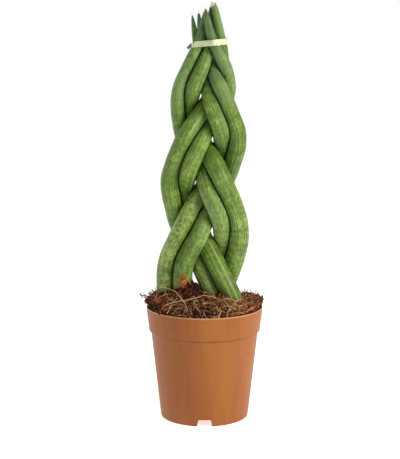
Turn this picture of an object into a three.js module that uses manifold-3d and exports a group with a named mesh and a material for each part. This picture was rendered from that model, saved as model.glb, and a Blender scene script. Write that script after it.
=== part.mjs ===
// A potted twister snake plant: six tapering cylindrical leaves, plaited in pairs as a flat braid,
// tied near their tips and standing in a heaped coir mix in a moulded nursery pot.
// Millimetres, +Z up. The origin is the centre of the pot's foot ring, on the surface that the pot
// stands on, and -Y is the front, the side on which the braid shows as a plait.
import * as THREE from "three";
import { mergeVertices } from "three/addons/utils/BufferGeometryUtils.js";
import Module from "manifold-3d";

const wasm = await Module();
wasm.setup();

const GAP = 0.35; // what touches on the real plant stands about this far apart

// The pot, as heights above the surface it stands on and outside radii. Its edges are broken by "edge".
const POT = {
  height: 135,
  rimRadius: 70,
  bandFoot: 107,
  bandFootRadius: 67,
  shoulder: 102.5,
  shoulderRadius: 64.4,
  footRadius: 53.1,
  footWall: 2.6,
  wall: 1.5,
  floorTop: 10.2,
  floorUnderside: 8.4,
  edge: 0.5,
  sides: 48,
};
const NOTCH = { count: 4, footWidth: 18.6, topWidth: 15.4, corner: 0.8, depth: 12, inside: 3 };
const DRAIN = { count: 8, radius: 5, ring: 33, sides: 14 };

// The heaped mix: its level at the pot's wall, how much its crown stands above that, how steeply it
// falls at the wall, how much higher it is banked at the two sides of the pot, the height of its waves,
// and the height by which it has surely ended
const HEAP = {
  edge: 134.5,
  crown: 15,
  steepness: 5,
  sides: 6.2,
  wave: 1.3,
  top: 190,
  rings: 9,
  tolerance: 0.15,
};
const CLUMP = { x: -16, y: -14, height: 14.8, spread: 16 };

// What lies on the mix: crumbs, short fibres arched over it, and two long fibres as points on their routes
const CRUMBS = { count: 70, smallest: 1.6, largest: 3.8, bedded: 0.35, seed: 41 };
const FIBRES = {
  count: 20,
  radius: 0.5,
  shortest: 9,
  longest: 21,
  reach: 62,
  sway: 6,
  sunk: 1.4,
  arch: 3.2,
  seed: 7,
};
const LONG_FIBRES = [
  [
    [-54, -14, 160], [-49, -14, 161], [-43, -15, 159], [-34, -24, 157], [-26, -39, 150], [-21, -53, 144],
    [-20, -60, 138],
  ],
  [
    [-55, -37, 136], [-43, -39, 145], [-27, -41, 149], [-11, -35, 151], [0, -25, 152], [13, -31, 150],
    [27, -46, 143],
  ],
];

// The tuft of husk against the second leaf, as spikes from one root
const TUFT = {
  root: [-25, -19, 158],
  tips: [[-29, -20, 177], [-24, -21, 172], [-20, -21, 169], [-17, -24, 165], [-32, -22, 167]],
  radius: 1.7,
};

// The plait: the depth of one layer of it, the clearance between its leaves, and the grain of a leaf's
// mesh, whose ribs draw in every second of its edges
const BRAID = { layer: 11.6, clearance: 1.07, rings: 40, sides: 16, rib: 0.03 };
const BEHIND = 1;
const FRONT = -1;

// How the leaves are pressed apart: the rounds, how far apart in height two points can still press on
// each other, how a point gives along each axis and holds to its route, and how a push is spread. The two
// leaves of a pair are drawn together up to the height "paired", where the slit between them is under
// "grip", by "pull" of it a round.
const SETTLING = {
  rounds: 300,
  within: 40,
  give: [0.25, 0.5, 0.1],
  hold: [0.985, 1, 0.985],
  ease: 0.06,
  grip: 4,
  pull: 0.06,
  paired: 415,
};

// Each leaf's route from its foot in the mix to its tip, as [across, layer, height], where the layer
// runs from the front of the plait to behind it, and the leaf's radius at the stations along it
const STATIONS = [0, 0.12, 0.5, 0.72, 0.84, 0.92, 0.97, 1];
const LEAVES = {
  leaf_a: {
    girth: [8.7, 9.5, 9.9, 9.1, 6.4, 4.1, 3.4, 1.2],
    route: [
      [-43, 0.3, 104], [-47.5, 0, 154], [-46.2, -0.4, 188], [-36, FRONT, 214], [-21.5, -1.1, 244],
      [-8, -0.35, 271], [7, BEHIND, 301], [18.4, 0.6, 326], [15.8, -0.6, 354], [8, FRONT, 376],
      [1, -0.2, 400], [-5, 0.8, 426], [-9, 0.5, 448], [-14, 0.4, 478],
    ],
  },
  leaf_b: {
    girth: [10.3, 11.7, 10.2, 9.2, 6.8, 4.1, 3.3, 1.6],
    route: [
      [-25, 0.3, 104], [-27, 0, 154], [-25.4, -0.4, 182], [-19.5, -0.9, 201], [-7, FRONT, 221],
      [3, -0.1, 244], [15, BEHIND, 268], [27, BEHIND, 290], [32.4, 0.3, 316], [32.2, 0, 334],
      [27.4, -0.7, 360], [17, FRONT, 392], [10.5, 0, 411], [5, 0.9, 431], [-3, 0.8, 448], [-7, 0.8, 481],
    ],
  },
  leaf_c: {
    girth: [9.2, 9.7, 10.3, 8.9, 6.8, 5.5, 4.6, 3.4],
    route: [
      [22, -0.6, 104], [11, -0.9, 147], [-2, -0.5, 176], [-19, BEHIND, 207], [-31, 0.9, 229],
      [-36, 0.2, 258], [-36, 0, 285], [-31.4, -0.6, 310], [-23, FRONT, 333], [-10, -0.8, 356],
      [1, 0.4, 379], [12, 0.9, 399], [19.4, 0.6, 416], [21.8, 0.3, 430], [19.4, 0, 448], [11.4, 0, 489],
    ],
  },
  leaf_d: {
    girth: [10.6, 11.3, 9.6, 8.9, 7.4, 5.7, 3.8, 1.2],
    route: [
      [44, -0.5, 104], [32, -0.9, 151], [19, -0.8, 178], [10, 0, 199], [-2, 0.9, 223], [-14, 0.8, 248],
      [-20, 0.75, 271], [-18, -0.6, 296], [-13, -1.1, 314], [0, -0.9, 340], [12, 0.3, 360], [22, 0.9, 376],
      [28, 0.5, 392], [25, -0.2, 405], [18, -0.8, 429], [9, -1.1, 448], [0.5, -1.2, 487],
    ],
  },
  leaf_e: {
    girth: [9.2, 9.8, 9.5, 7.5, 6.6, 5.7, 4, 1.3],
    route: [
      [0, 1.2, 104], [3, 1.3, 149], [8, 1.2, 176], [17, 0.9, 202], [20, 0.2, 223], [15, -0.6, 246],
      [6, FRONT, 268], [-4, -0.5, 290], [-15, 0.8, 310], [-25, BEHIND, 330], [-29.2, 0.5, 355],
      [-28.8, 0, 379], [-24.8, -0.3, 400], [-14, -0.5, 429], [-5, -0.3, 448], [0.5, -0.1, 484],
    ],
  },
  leaf_f: {
    girth: [10.2, 11, 11.1, 9.9, 7.8, 5.9, 4.2, 2.1],
    route: [
      [14, 1.3, 104], [20, 1.3, 149], [31, 1, 174], [37.4, 0.4, 201], [38, 0, 224], [34.2, -0.5, 248],
      [27, FRONT, 271], [14, FRONT, 296], [4, 0, 319], [-5, BEHIND, 340], [-13, 0.8, 359], [-15, 0.3, 376],
      [-11, -0.3, 393], [0, -0.2, 426], [4, 0.7, 448], [8, 1, 489],
    ],
  },
};

// The flat twist tie, gathered on the left where its ends are twisted together into a tail. It rises a
// little to the right, and its slack is what it stands off the leaves by.
const TIE = { height: 447.6, rise: 0.11, width: 7.6, gathered: 3.6, slack: 0.95, thickness: 0.6, steps: 48 };
const TAIL = { length: 7.5, width: 2.4, thickness: 1.3, turns: 0.75, steps: 8, droop: 0.75 };

// A repeatable draw of numbers from 0 to 1
function draws(seed) {
  let state = seed;
  return () => {
    state = (Math.imul(state, 1664525) + 1013904223) >>> 0;
    return state / 4294967296;
  };
}

// The value at t on the line through the values at the stations
function between(stations, values, t) {
  const i = Math.max(1, stations.findIndex((station) => station >= t));
  const share = (t - stations[i - 1]) / (stations[i] - stations[i - 1]);
  return THREE.MathUtils.lerp(values[i - 1], values[i], share);
}

// A geometry as a solid for joining and cutting
function solid(geometry) {
  const bare = new THREE.BufferGeometry().setAttribute("position", geometry.getAttribute("position"));
  if (geometry.index) bare.setIndex(geometry.index);
  const merged = mergeVertices(bare, 1e-4);
  const vertProperties = merged.attributes.position.array;
  const triVerts = new Uint32Array(merged.index.array);
  return new wasm.Manifold(new wasm.Mesh({ numProp: 3, vertProperties, triVerts }));
}

// A solid back as a geometry, without the crumbs that a cut has left loose
function geometryOf(manifold) {
  const bodies = manifold.decompose().sort((a, b) => b.volume() - a.volume());
  const { vertProperties, triVerts } = bodies[0].getMesh();
  const geometry = new THREE.BufferGeometry();
  geometry.setAttribute("position", new THREE.BufferAttribute(vertProperties, 3));
  return geometry.setIndex(new THREE.BufferAttribute(triVerts, 1));
}

// A solid of revolution about +Z, from a profile of [radius, height] that runs from the axis back to the axis
function turned(profile, sides) {
  const points = profile.map(([r, z]) => new THREE.Vector2(r, z));
  return new THREE.LatheGeometry(points, sides).rotateX(Math.PI / 2);
}

// A closed rod, turned on a lathe and bent along points, with every second of its edges drawn in by the rib
function bentRod(points, radii, sides, rib = 0) {
  const profile = radii.map((radius, i) => new THREE.Vector2(radius, i));
  const rod = new THREE.LatheGeometry(
    [new THREE.Vector2(0, 0), ...profile, new THREE.Vector2(0, radii.length - 1)],
    sides,
  );
  const frames = [];
  const last = points.length - 1;
  let side = new THREE.Vector3(1, 0, 0);
  points.forEach((point, i) => {
    const along = points[Math.min(last, i + 1)].clone().sub(points[Math.max(0, i - 1)]).normalize();
    side = side.clone().addScaledVector(along, -side.dot(along)).normalize();
    frames.push({ point, side, up: new THREE.Vector3().crossVectors(side, along) });
  });
  const place = rod.attributes.position;
  const at = new THREE.Vector3();
  for (let v = 0; v < place.count; v++) {
    at.fromBufferAttribute(place, v);
    const { point, side: across, up } = frames[Math.round(at.y)];
    const angle = Math.atan2(at.z, at.x);
    const drawnIn = 1 - rib * (1 - Math.cos((angle * sides) / 2));
    const bent = point.clone().addScaledVector(across, at.x * drawnIn).addScaledVector(up, at.z * drawnIn);
    place.setXYZ(v, bent.x, bent.y, bent.z);
  }
  return rod;
}

// A leaf's centre line as evenly spaced points, with the radius at each
function leafLine({ girth, route }) {
  const depth = BRAID.layer;
  const knots = route.map(([across, layer, height]) => new THREE.Vector3(across, layer * depth, height));
  const points = new THREE.CatmullRomCurve3(knots, false, "centripetal").getSpacedPoints(BRAID.rings);
  return { points, radii: points.map((_, i) => between(STATIONS, girth, i / BRAID.rings)) };
}

// How far a ball has to move, and which way, to clear another leaf, or to draw near its partner
function shove(centre, radius, other, partner) {
  const away = new THREE.Vector3();
  const line = new THREE.Line3();
  const near = new THREE.Vector3();
  let worst = partner && centre.z < SETTLING.paired ? -SETTLING.grip : 0;
  for (let j = 1; j < other.points.length; j++) {
    if (Math.abs(other.points[j].z - centre.z) > SETTLING.within) continue;
    line.set(other.points[j - 1], other.points[j]);
    const along = line.closestPointToPointParameter(centre, true);
    line.at(along, near);
    const reach = radius + BRAID.clearance + THREE.MathUtils.lerp(other.radii[j - 1], other.radii[j], along);
    const depth = reach - near.distanceTo(centre);
    if (depth > worst) {
      worst = depth;
      const share = depth < 0 ? SETTLING.pull : 1;
      away.subVectors(centre, near).normalize().multiplyScalar(depth * share);
    }
  }
  return away;
}

// What the other leaves press on each point of a leaf, tested at the points and halfway between them
function pressure(leaf, others, partner) {
  const { points, radii } = leaf;
  const pushes = points.map(() => new THREE.Vector3());
  const middle = new THREE.Vector3();
  points.forEach((point, i) => {
    for (const other of others) pushes[i].add(shove(point, radii[i], other, other === partner));
    if (i === 0) return;
    middle.lerpVectors(points[i - 1], point, 0.5);
    for (const other of others) {
      const radius = (radii[i - 1] + radii[i]) / 2;
      const half = shove(middle, radius, other, other === partner).multiplyScalar(0.5);
      pushes[i - 1].add(half);
      pushes[i].add(half);
    }
  });
  return pushes;
}

// The shift of a leaf's point i, spread a little to the points before and after it
function eased(shift, i) {
  const before = shift[Math.max(0, i - 1)];
  const after = shift[Math.min(shift.length - 1, i + 1)];
  const { ease } = SETTLING;
  return before.clone().add(after).multiplyScalar(ease).addScaledVector(shift[i], 1 - 2 * ease);
}

// Presses the leaves, which come pair by pair, apart until none cuts another. They give mostly in depth,
// and what they give across the plait and along it is drawn back a little each round, so that its
// outline stays as read.
function settle(leaves) {
  const give = new THREE.Vector3(...SETTLING.give);
  const hold = new THREE.Vector3(...SETTLING.hold);
  const routes = leaves.map((leaf) => leaf.points.map((point) => point.clone()));
  let shifts = leaves.map((leaf) => leaf.points.map(() => new THREE.Vector3()));
  for (let round = 0; round < SETTLING.rounds; round++) {
    const pushes = leaves.map((leaf, k) => {
      const others = leaves.filter((other) => other !== leaf);
      return pressure(leaf, others, leaves[k ^ 1]);
    });
    shifts = shifts.map((shift, k) =>
      shift.map((_, i) => eased(shift, i).multiply(hold).add(pushes[k][i].multiply(give))),
    );
    leaves.forEach(({ points }, k) => {
      points.forEach((point, i) => point.addVectors(routes[k][i], shifts[k][i]));
    });
  }
}

// The pot's inside, from its floor up to its rim, drawn in by a margin
function potInside(margin) {
  const inset = POT.wall + margin;
  const taper = (POT.shoulderRadius - POT.footRadius) / POT.shoulder;
  return [
    [POT.footRadius + taper * POT.floorTop - inset, POT.floorTop],
    [POT.shoulderRadius - inset, POT.shoulder],
    [POT.bandFootRadius - inset, POT.bandFoot],
    [POT.rimRadius - POT.edge - inset, POT.height - 2 * POT.edge],
  ];
}

// The pot's wall, floor and foot ring, turned from one profile
function shell() {
  const { height, rimRadius, bandFoot, bandFootRadius, footRadius, floorUnderside, edge } = POT;
  const footInside = footRadius - POT.footWall;
  const [floorEdge, ...inside] = potInside(0);
  const profile = [
    [0, floorUnderside],
    [footInside + edge, floorUnderside],
    [footInside, edge],
    [footInside + edge, 0],
    [footRadius - edge, 0],
    [footRadius, edge],
    [POT.shoulderRadius, POT.shoulder],
    [bandFootRadius - edge, bandFoot - 2 * edge],
    [bandFootRadius, bandFoot],
    [rimRadius, height - 2 * edge],
    [rimRadius - edge, height],
    [rimRadius - POT.wall, height],
    ...inside.reverse(),
    floorEdge,
    [0, POT.floorTop],
  ];
  return solid(turned(profile, POT.sides));
}

// What cuts one notch into the foot ring, at the front
function notch() {
  const top = POT.floorUnderside - 0.05;
  const below = -1;
  const half = NOTCH.topWidth / 2;
  const right = [
    [NOTCH.footWidth / 2, below],
    [half, top - NOTCH.corner],
    [half - NOTCH.corner, top],
  ];
  const left = right.map(([x, z]) => [-x, z]).reverse();
  const arch = new THREE.Shape([...right, ...left].map(([x, z]) => new THREE.Vector2(x, z)));
  const cutter = new THREE.ExtrudeGeometry(arch, { depth: NOTCH.depth, bevelEnabled: false });
  cutter.rotateX(Math.PI / 2).translate(0, NOTCH.depth - NOTCH.inside - POT.footRadius, 0);
  return solid(cutter);
}

function pot() {
  const cuts = [];
  for (let k = 0; k < NOTCH.count; k++) cuts.push(notch().rotate([0, 0, (360 / NOTCH.count) * k]));
  const throughFloor = 2 * POT.floorTop;
  const hole = new THREE.CylinderGeometry(DRAIN.radius, DRAIN.radius, throughFloor, DRAIN.sides);
  hole.rotateX(Math.PI / 2).translate(0, DRAIN.ring, 0);
  for (let k = 0; k < DRAIN.count; k++) {
    cuts.push(solid(hole).rotate([0, 0, (360 / DRAIN.count) * (k + 0.5)]));
  }
  return geometryOf(cuts.reduce((body, cut) => body.subtract(cut), shell()));
}

// The height of the heap's surface, before its crumbs
function heapHeight(x, y) {
  const reach = Math.min(1, Math.hypot(x, y) / (POT.rimRadius - POT.wall));
  const heap = HEAP.crown * (1 - reach ** HEAP.steepness);
  const clump = CLUMP.height * Math.exp(-((x - CLUMP.x) ** 2 + (y - CLUMP.y) ** 2) / CLUMP.spread ** 2);
  const sideways = (x / Math.max(1, Math.hypot(x, y))) ** 2;
  const banked = HEAP.sides * sideways * THREE.MathUtils.smoothstep(reach, 0.4, 0.9);
  const swell = Math.sin(0.23 * x + 1.1) * Math.cos(0.19 * y) + 0.6 * Math.sin(0.41 * x - 0.37 * y);
  return HEAP.edge + heap + clump + banked + HEAP.wave * swell * (1 - reach ** 3);
}

// A block of the mix that fills the pot up to the heap's surface
function heap() {
  const inside = potInside(GAP);
  inside[0][1] += GAP;
  const edge = inside[inside.length - 1];
  const surface = [];
  for (let k = 1; k <= HEAP.rings; k++) surface.push([edge[0] * (1 - k / HEAP.rings), POT.height]);
  const block = turned([[0, inside[0][1]], ...inside, ...surface], POT.sides);
  const place = block.attributes.position;
  for (let v = 0; v < place.count; v++) {
    if (place.getZ(v) >= edge[1] - 1e-3) place.setZ(v, heapHeight(place.getX(v), place.getY(v)));
  }
  return solid(block);
}

// An angular crumb or chip of the mix, lying at a drawn place on the heap
function crumb(draw) {
  const size = THREE.MathUtils.lerp(CRUMBS.smallest, CRUMBS.largest, draw() ** 2);
  const crumb = new THREE.OctahedronGeometry(size);
  const chip = new THREE.BoxGeometry(2.2 * size, 1.3 * size, size);
  const shape = draw() < 0.5 ? crumb : chip;
  shape.scale(1 + 0.5 * draw(), 0.8 + 0.4 * draw(), 0.7 + 0.5 * draw());
  shape.rotateX((draw() - 0.5) * 1.4).rotateY((draw() - 0.5) * 1.4).rotateZ(draw() * 2 * Math.PI);
  const angle = draw() * 2 * Math.PI;
  const radius = (POT.rimRadius - 1) * Math.sqrt(draw());
  const x = radius * Math.cos(angle);
  const y = radius * Math.sin(angle);
  return solid(shape.translate(x, y, heapHeight(x, y) + size * CRUMBS.bedded));
}

// A coir fibre arched over the heap, its ends sunk in it
function fibre(draw) {
  const angle = draw() * 2 * Math.PI;
  const radius = FIBRES.reach * Math.sqrt(draw());
  const heading = draw() * 2 * Math.PI;
  const length = THREE.MathUtils.lerp(FIBRES.shortest, FIBRES.longest, draw());
  const start = new THREE.Vector3(radius * Math.cos(angle), radius * Math.sin(angle), 0);
  const end = start.clone().add(new THREE.Vector3(length * Math.cos(heading), length * Math.sin(heading), 0));
  const middle = start.clone().lerp(end, 0.5);
  middle.x += (draw() - 0.5) * FIBRES.sway;
  middle.y += (draw() - 0.5) * FIBRES.sway;
  for (const point of [start, middle, end]) {
    point.setLength(Math.min(point.length(), FIBRES.reach + 4));
    point.z = heapHeight(point.x, point.y) - FIBRES.sunk;
  }
  middle.z += FIBRES.arch * (1 + 0.6 * draw());
  return thread([start, middle, end]);
}

// A thread of coir through points
function thread(route) {
  const points = new THREE.CatmullRomCurve3(route).getSpacedPoints(2 * route.length);
  return solid(bentRod(points, points.map(() => FIBRES.radius), 4));
}

// A tapering spike of husk from the tuft's root to a tip
function spike(tip) {
  const line = new THREE.LineCurve3(new THREE.Vector3(...TUFT.root), new THREE.Vector3(...tip));
  const radii = [TUFT.radius, TUFT.radius * 1.1, TUFT.radius * 0.7, 0.35];
  return solid(bentRod(line.getPoints(radii.length - 1), radii, 5));
}

// The plain hole that a leaf stands in, up to clear of the heap
function leafHole({ points, radii }) {
  const low = points.filter((point) => point.z < HEAP.top).length;
  const line = points.slice(0, low).map((point) => point.clone());
  line[0].addScaledVector(new THREE.Vector3().subVectors(line[0], line[1]).normalize(), GAP);
  return solid(bentRod(line, radii.slice(0, low).map((radius) => radius + GAP), BRAID.sides));
}

// All that the mix may not fill round its sides: the pot, and the room outside it below its lip
function roundTheMix() {
  const downTheWall = potInside(GAP).reverse();
  const lip = POT.height + GAP;
  const beyond = 1.3 * POT.rimRadius;
  const outline = [
    [beyond, 0],
    [beyond, lip],
    [POT.rimRadius - POT.wall - GAP, lip],
    ...downTheWall,
    [downTheWall.at(-1)[0], 0],
    [beyond, 0],
  ];
  return solid(turned(outline, POT.sides));
}

function soil(leaves) {
  const drawCrumb = draws(CRUMBS.seed);
  const drawFibre = draws(FIBRES.seed);
  const bits = [heap()];
  for (let k = 0; k < CRUMBS.count; k++) bits.push(crumb(drawCrumb));
  for (let k = 0; k < FIBRES.count; k++) bits.push(fibre(drawFibre));
  for (const route of LONG_FIBRES) bits.push(thread(route.map((point) => new THREE.Vector3(...point))));
  for (const tip of TUFT.tips) bits.push(spike(tip));
  const cuts = [...leaves.map(leafHole), roundTheMix()];
  const body = cuts.reduce((rest, cut) => rest.subtract(cut), wasm.Manifold.union(bits));
  return geometryOf(body.simplify(HEAP.tolerance));
}

// Where a flat belt, pulled tight round the leaves at an offset from the tie's middle, lies in a direction.
// A leaf that leans is cut by the belt's plane in an ellipse, and the belt touches that.
function beltPoint(leaves, offset, direction) {
  let furthest = null;
  for (const { points, radii } of leaves) {
    const rise = (point) => point.z - (TIE.height + offset + TIE.rise * point.x);
    const i = points.findIndex((point) => rise(point) > 0);
    const share = -rise(points[i - 1]) / (rise(points[i]) - rise(points[i - 1]));
    const along = new THREE.Vector3().subVectors(points[i], points[i - 1]).normalize();
    const lean = direction.dot(along) / along.z;
    const out = new THREE.Vector3(direction.x, direction.y, -lean).normalize();
    const touch = points[i - 1].clone().lerp(points[i], share);
    const reach = radii[i - 1] + TIE.slack;
    touch.addScaledVector(out, reach).addScaledVector(along, (-reach * out.z) / along.z);
    if (!furthest || touch.dot(direction) > furthest.dot(direction)) furthest = touch;
  }
  return furthest;
}

function tie(leaves) {
  const rows = [-1, 0, 1];
  const positions = [];
  const index = [];
  for (let k = 0; k < TIE.steps; k++) {
    const angle = (k / TIE.steps) * 2 * Math.PI;
    const direction = new THREE.Vector3(Math.cos(angle), Math.sin(angle), 0);
    const gather = THREE.MathUtils.smoothstep(-direction.x, 0.6, 1);
    const width = THREE.MathUtils.lerp(TIE.width, TIE.gathered, gather);
    for (const thickness of [0, TIE.thickness]) {
      for (const row of rows) {
        const point = beltPoint(leaves, (row * width) / 2, direction).addScaledVector(direction, thickness);
        positions.push(point.x, point.y, TIE.height + TIE.rise * point.x + (row * width) / 2);
      }
    }
  }
  const ring = 2 * rows.length;
  const loop = [0, 1, 2, 5, 4, 3];
  for (let k = 0; k < TIE.steps; k++) {
    const next = (k + 1) % TIE.steps;
    loop.forEach((corner, c) => {
      const after = loop[(c + 1) % loop.length];
      index.push(k * ring + corner, next * ring + after, next * ring + corner);
      index.push(k * ring + corner, k * ring + after, next * ring + after);
    });
  }
  const geometry = new THREE.BufferGeometry();
  geometry.setAttribute("position", new THREE.Float32BufferAttribute(positions, 3));
  geometry.setIndex(index);
  const start = beltPoint(leaves, 0, new THREE.Vector3(-1, 0, 0));
  return geometryOf(solid(geometry).add(tail(start)));
}

// The tie's two ends, twisted together into a short tail that points out and down from a start
function tail(start) {
  const bar = new THREE.BoxGeometry(TAIL.length, TAIL.width, TAIL.thickness, TAIL.steps);
  bar.translate(-TAIL.length / 2, 0, 0);
  const place = bar.attributes.position;
  const at = new THREE.Vector3();
  const axis = new THREE.Vector3(1, 0, 0);
  for (let v = 0; v < place.count; v++) {
    at.fromBufferAttribute(place, v);
    at.applyAxisAngle(axis, (at.x / TAIL.length) * TAIL.turns * 2 * Math.PI);
    place.setXYZ(v, at.x, at.y, at.z);
  }
  bar.rotateY(-TAIL.droop).translate(start.x - TIE.thickness * 0.5, start.y, start.z);
  return solid(bar);
}

const finishes = {
  leaf: new THREE.MeshStandardMaterial({ color: 0x6b8a45, roughness: 0.5, metalness: 0 }),
  pot: new THREE.MeshStandardMaterial({ color: 0xb26a3c, roughness: 0.4, metalness: 0 }),
  soil: new THREE.MeshStandardMaterial({ color: 0x4a2c1c, roughness: 0.95, metalness: 0 }),
  tie: new THREE.MeshStandardMaterial({ color: 0xb9cf9c, roughness: 0.4, metalness: 0 }),
};

const lines = Object.values(LEAVES).map(leafLine);
settle(lines);

const plant = new THREE.Group();
plant.name = "potted_twister_snake_plant";
function add(name, geometry, material) {
  const mesh = new THREE.Mesh(geometry, material);
  mesh.name = name;
  plant.add(mesh);
}

add("pot", pot(), finishes.pot);
add("soil", soil(lines), finishes.soil);
Object.keys(LEAVES).forEach((name, k) => {
  add(name, bentRod(lines[k].points, lines[k].radii, BRAID.sides, BRAID.rib), finishes.leaf);
});
add("tie", tie(lines), finishes.tie);

export default plant;
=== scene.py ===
"""The looks of a potted twister snake plant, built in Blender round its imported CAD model.

Lengths are written in millimetres and turned into metres by MM. The frame's origin is the centre of the pot's
foot ring, +Z is up and -Y is the front of the plait.
"""

from __future__ import annotations

import logging
import math
from dataclasses import dataclass, field
from enum import Enum
from typing import Any, ClassVar, Optional, Sequence, Union

import bmesh
import bpy
import numpy as np
from mathutils import Euler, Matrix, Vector, noise

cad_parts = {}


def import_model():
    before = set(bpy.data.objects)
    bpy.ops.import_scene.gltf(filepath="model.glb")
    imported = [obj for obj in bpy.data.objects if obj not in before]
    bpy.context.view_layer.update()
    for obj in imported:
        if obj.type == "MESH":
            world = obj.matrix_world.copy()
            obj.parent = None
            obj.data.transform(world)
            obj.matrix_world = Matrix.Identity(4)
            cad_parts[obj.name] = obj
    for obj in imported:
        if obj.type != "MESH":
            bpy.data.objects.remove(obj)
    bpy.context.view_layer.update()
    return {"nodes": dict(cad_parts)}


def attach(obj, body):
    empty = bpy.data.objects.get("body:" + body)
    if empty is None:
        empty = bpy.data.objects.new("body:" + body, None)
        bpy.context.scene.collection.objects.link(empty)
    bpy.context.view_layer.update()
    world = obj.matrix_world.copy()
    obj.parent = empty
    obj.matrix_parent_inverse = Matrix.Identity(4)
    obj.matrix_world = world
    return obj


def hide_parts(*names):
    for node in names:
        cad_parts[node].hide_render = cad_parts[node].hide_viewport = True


MM = 0.001
BODY = "root"
log = logging.getLogger("plant")

Colour = tuple[float, float, float]
Place = tuple[float, float, float]
Span = tuple[float, float]
Face = tuple[int, ...]
Values = Union[float, np.ndarray]


def srgb(red: int, green: int, blue: int) -> Colour:
    """Turns a screen colour into the linear colour that Blender's shaders take.

    Args:
        red: Red from 0 to 255.
        green: Green from 0 to 255.
        blue: Blue from 0 to 255.

    Returns:
        The linear colour.
    """

    def linear(value: int) -> float:
        """Linearises one channel."""
        share = value / 255
        return share / 12.92 if share <= 0.04045 else ((share + 0.055) / 1.055) ** 2.4

    return linear(red), linear(green), linear(blue)


# Shader expressions


@dataclass(frozen=True)
class Wire:
    """An output of a shader node that can be used in a Python expression."""

    graph: ShaderGraph
    socket: bpy.types.NodeSocket

    def __add__(self, other: Number) -> Wire:
        """Adds a number or a wire."""
        return self.graph.math("ADD", self, other)

    def __radd__(self, other: Number) -> Wire:
        """Adds this wire to a number."""
        return self.graph.math("ADD", other, self)

    def __sub__(self, other: Number) -> Wire:
        """Takes a number or a wire away."""
        return self.graph.math("SUBTRACT", self, other)

    def __rsub__(self, other: Number) -> Wire:
        """Takes this wire away from a number."""
        return self.graph.math("SUBTRACT", other, self)

    def __mul__(self, other: Number) -> Wire:
        """Multiplies by a number or a wire."""
        return self.graph.math("MULTIPLY", self, other)

    def __rmul__(self, other: Number) -> Wire:
        """Multiplies a number by this wire."""
        return self.graph.math("MULTIPLY", other, self)

    def __pow__(self, other: Number) -> Wire:
        """Raises to a power."""
        return self.graph.math("POWER", self, other)

    def between(self, low: float, high: float) -> Wire:
        """Goes smoothly from 0 at low to 1 at high, and the other way round where low is the higher.

        Args:
            low: The value that gives 0.
            high: The value that gives 1.

        Returns:
            The eased share.
        """
        if low > high:
            return 1 - self.between(high, low)
        settings = {"interpolation_type": "SMOOTHSTEP"}
        inputs = {"Value": self, "From Min": low, "From Max": high}
        return self.graph.wire(self.graph.node("ShaderNodeMapRange", settings, inputs), "Result")


Number = Union[Wire, float, int]


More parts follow.
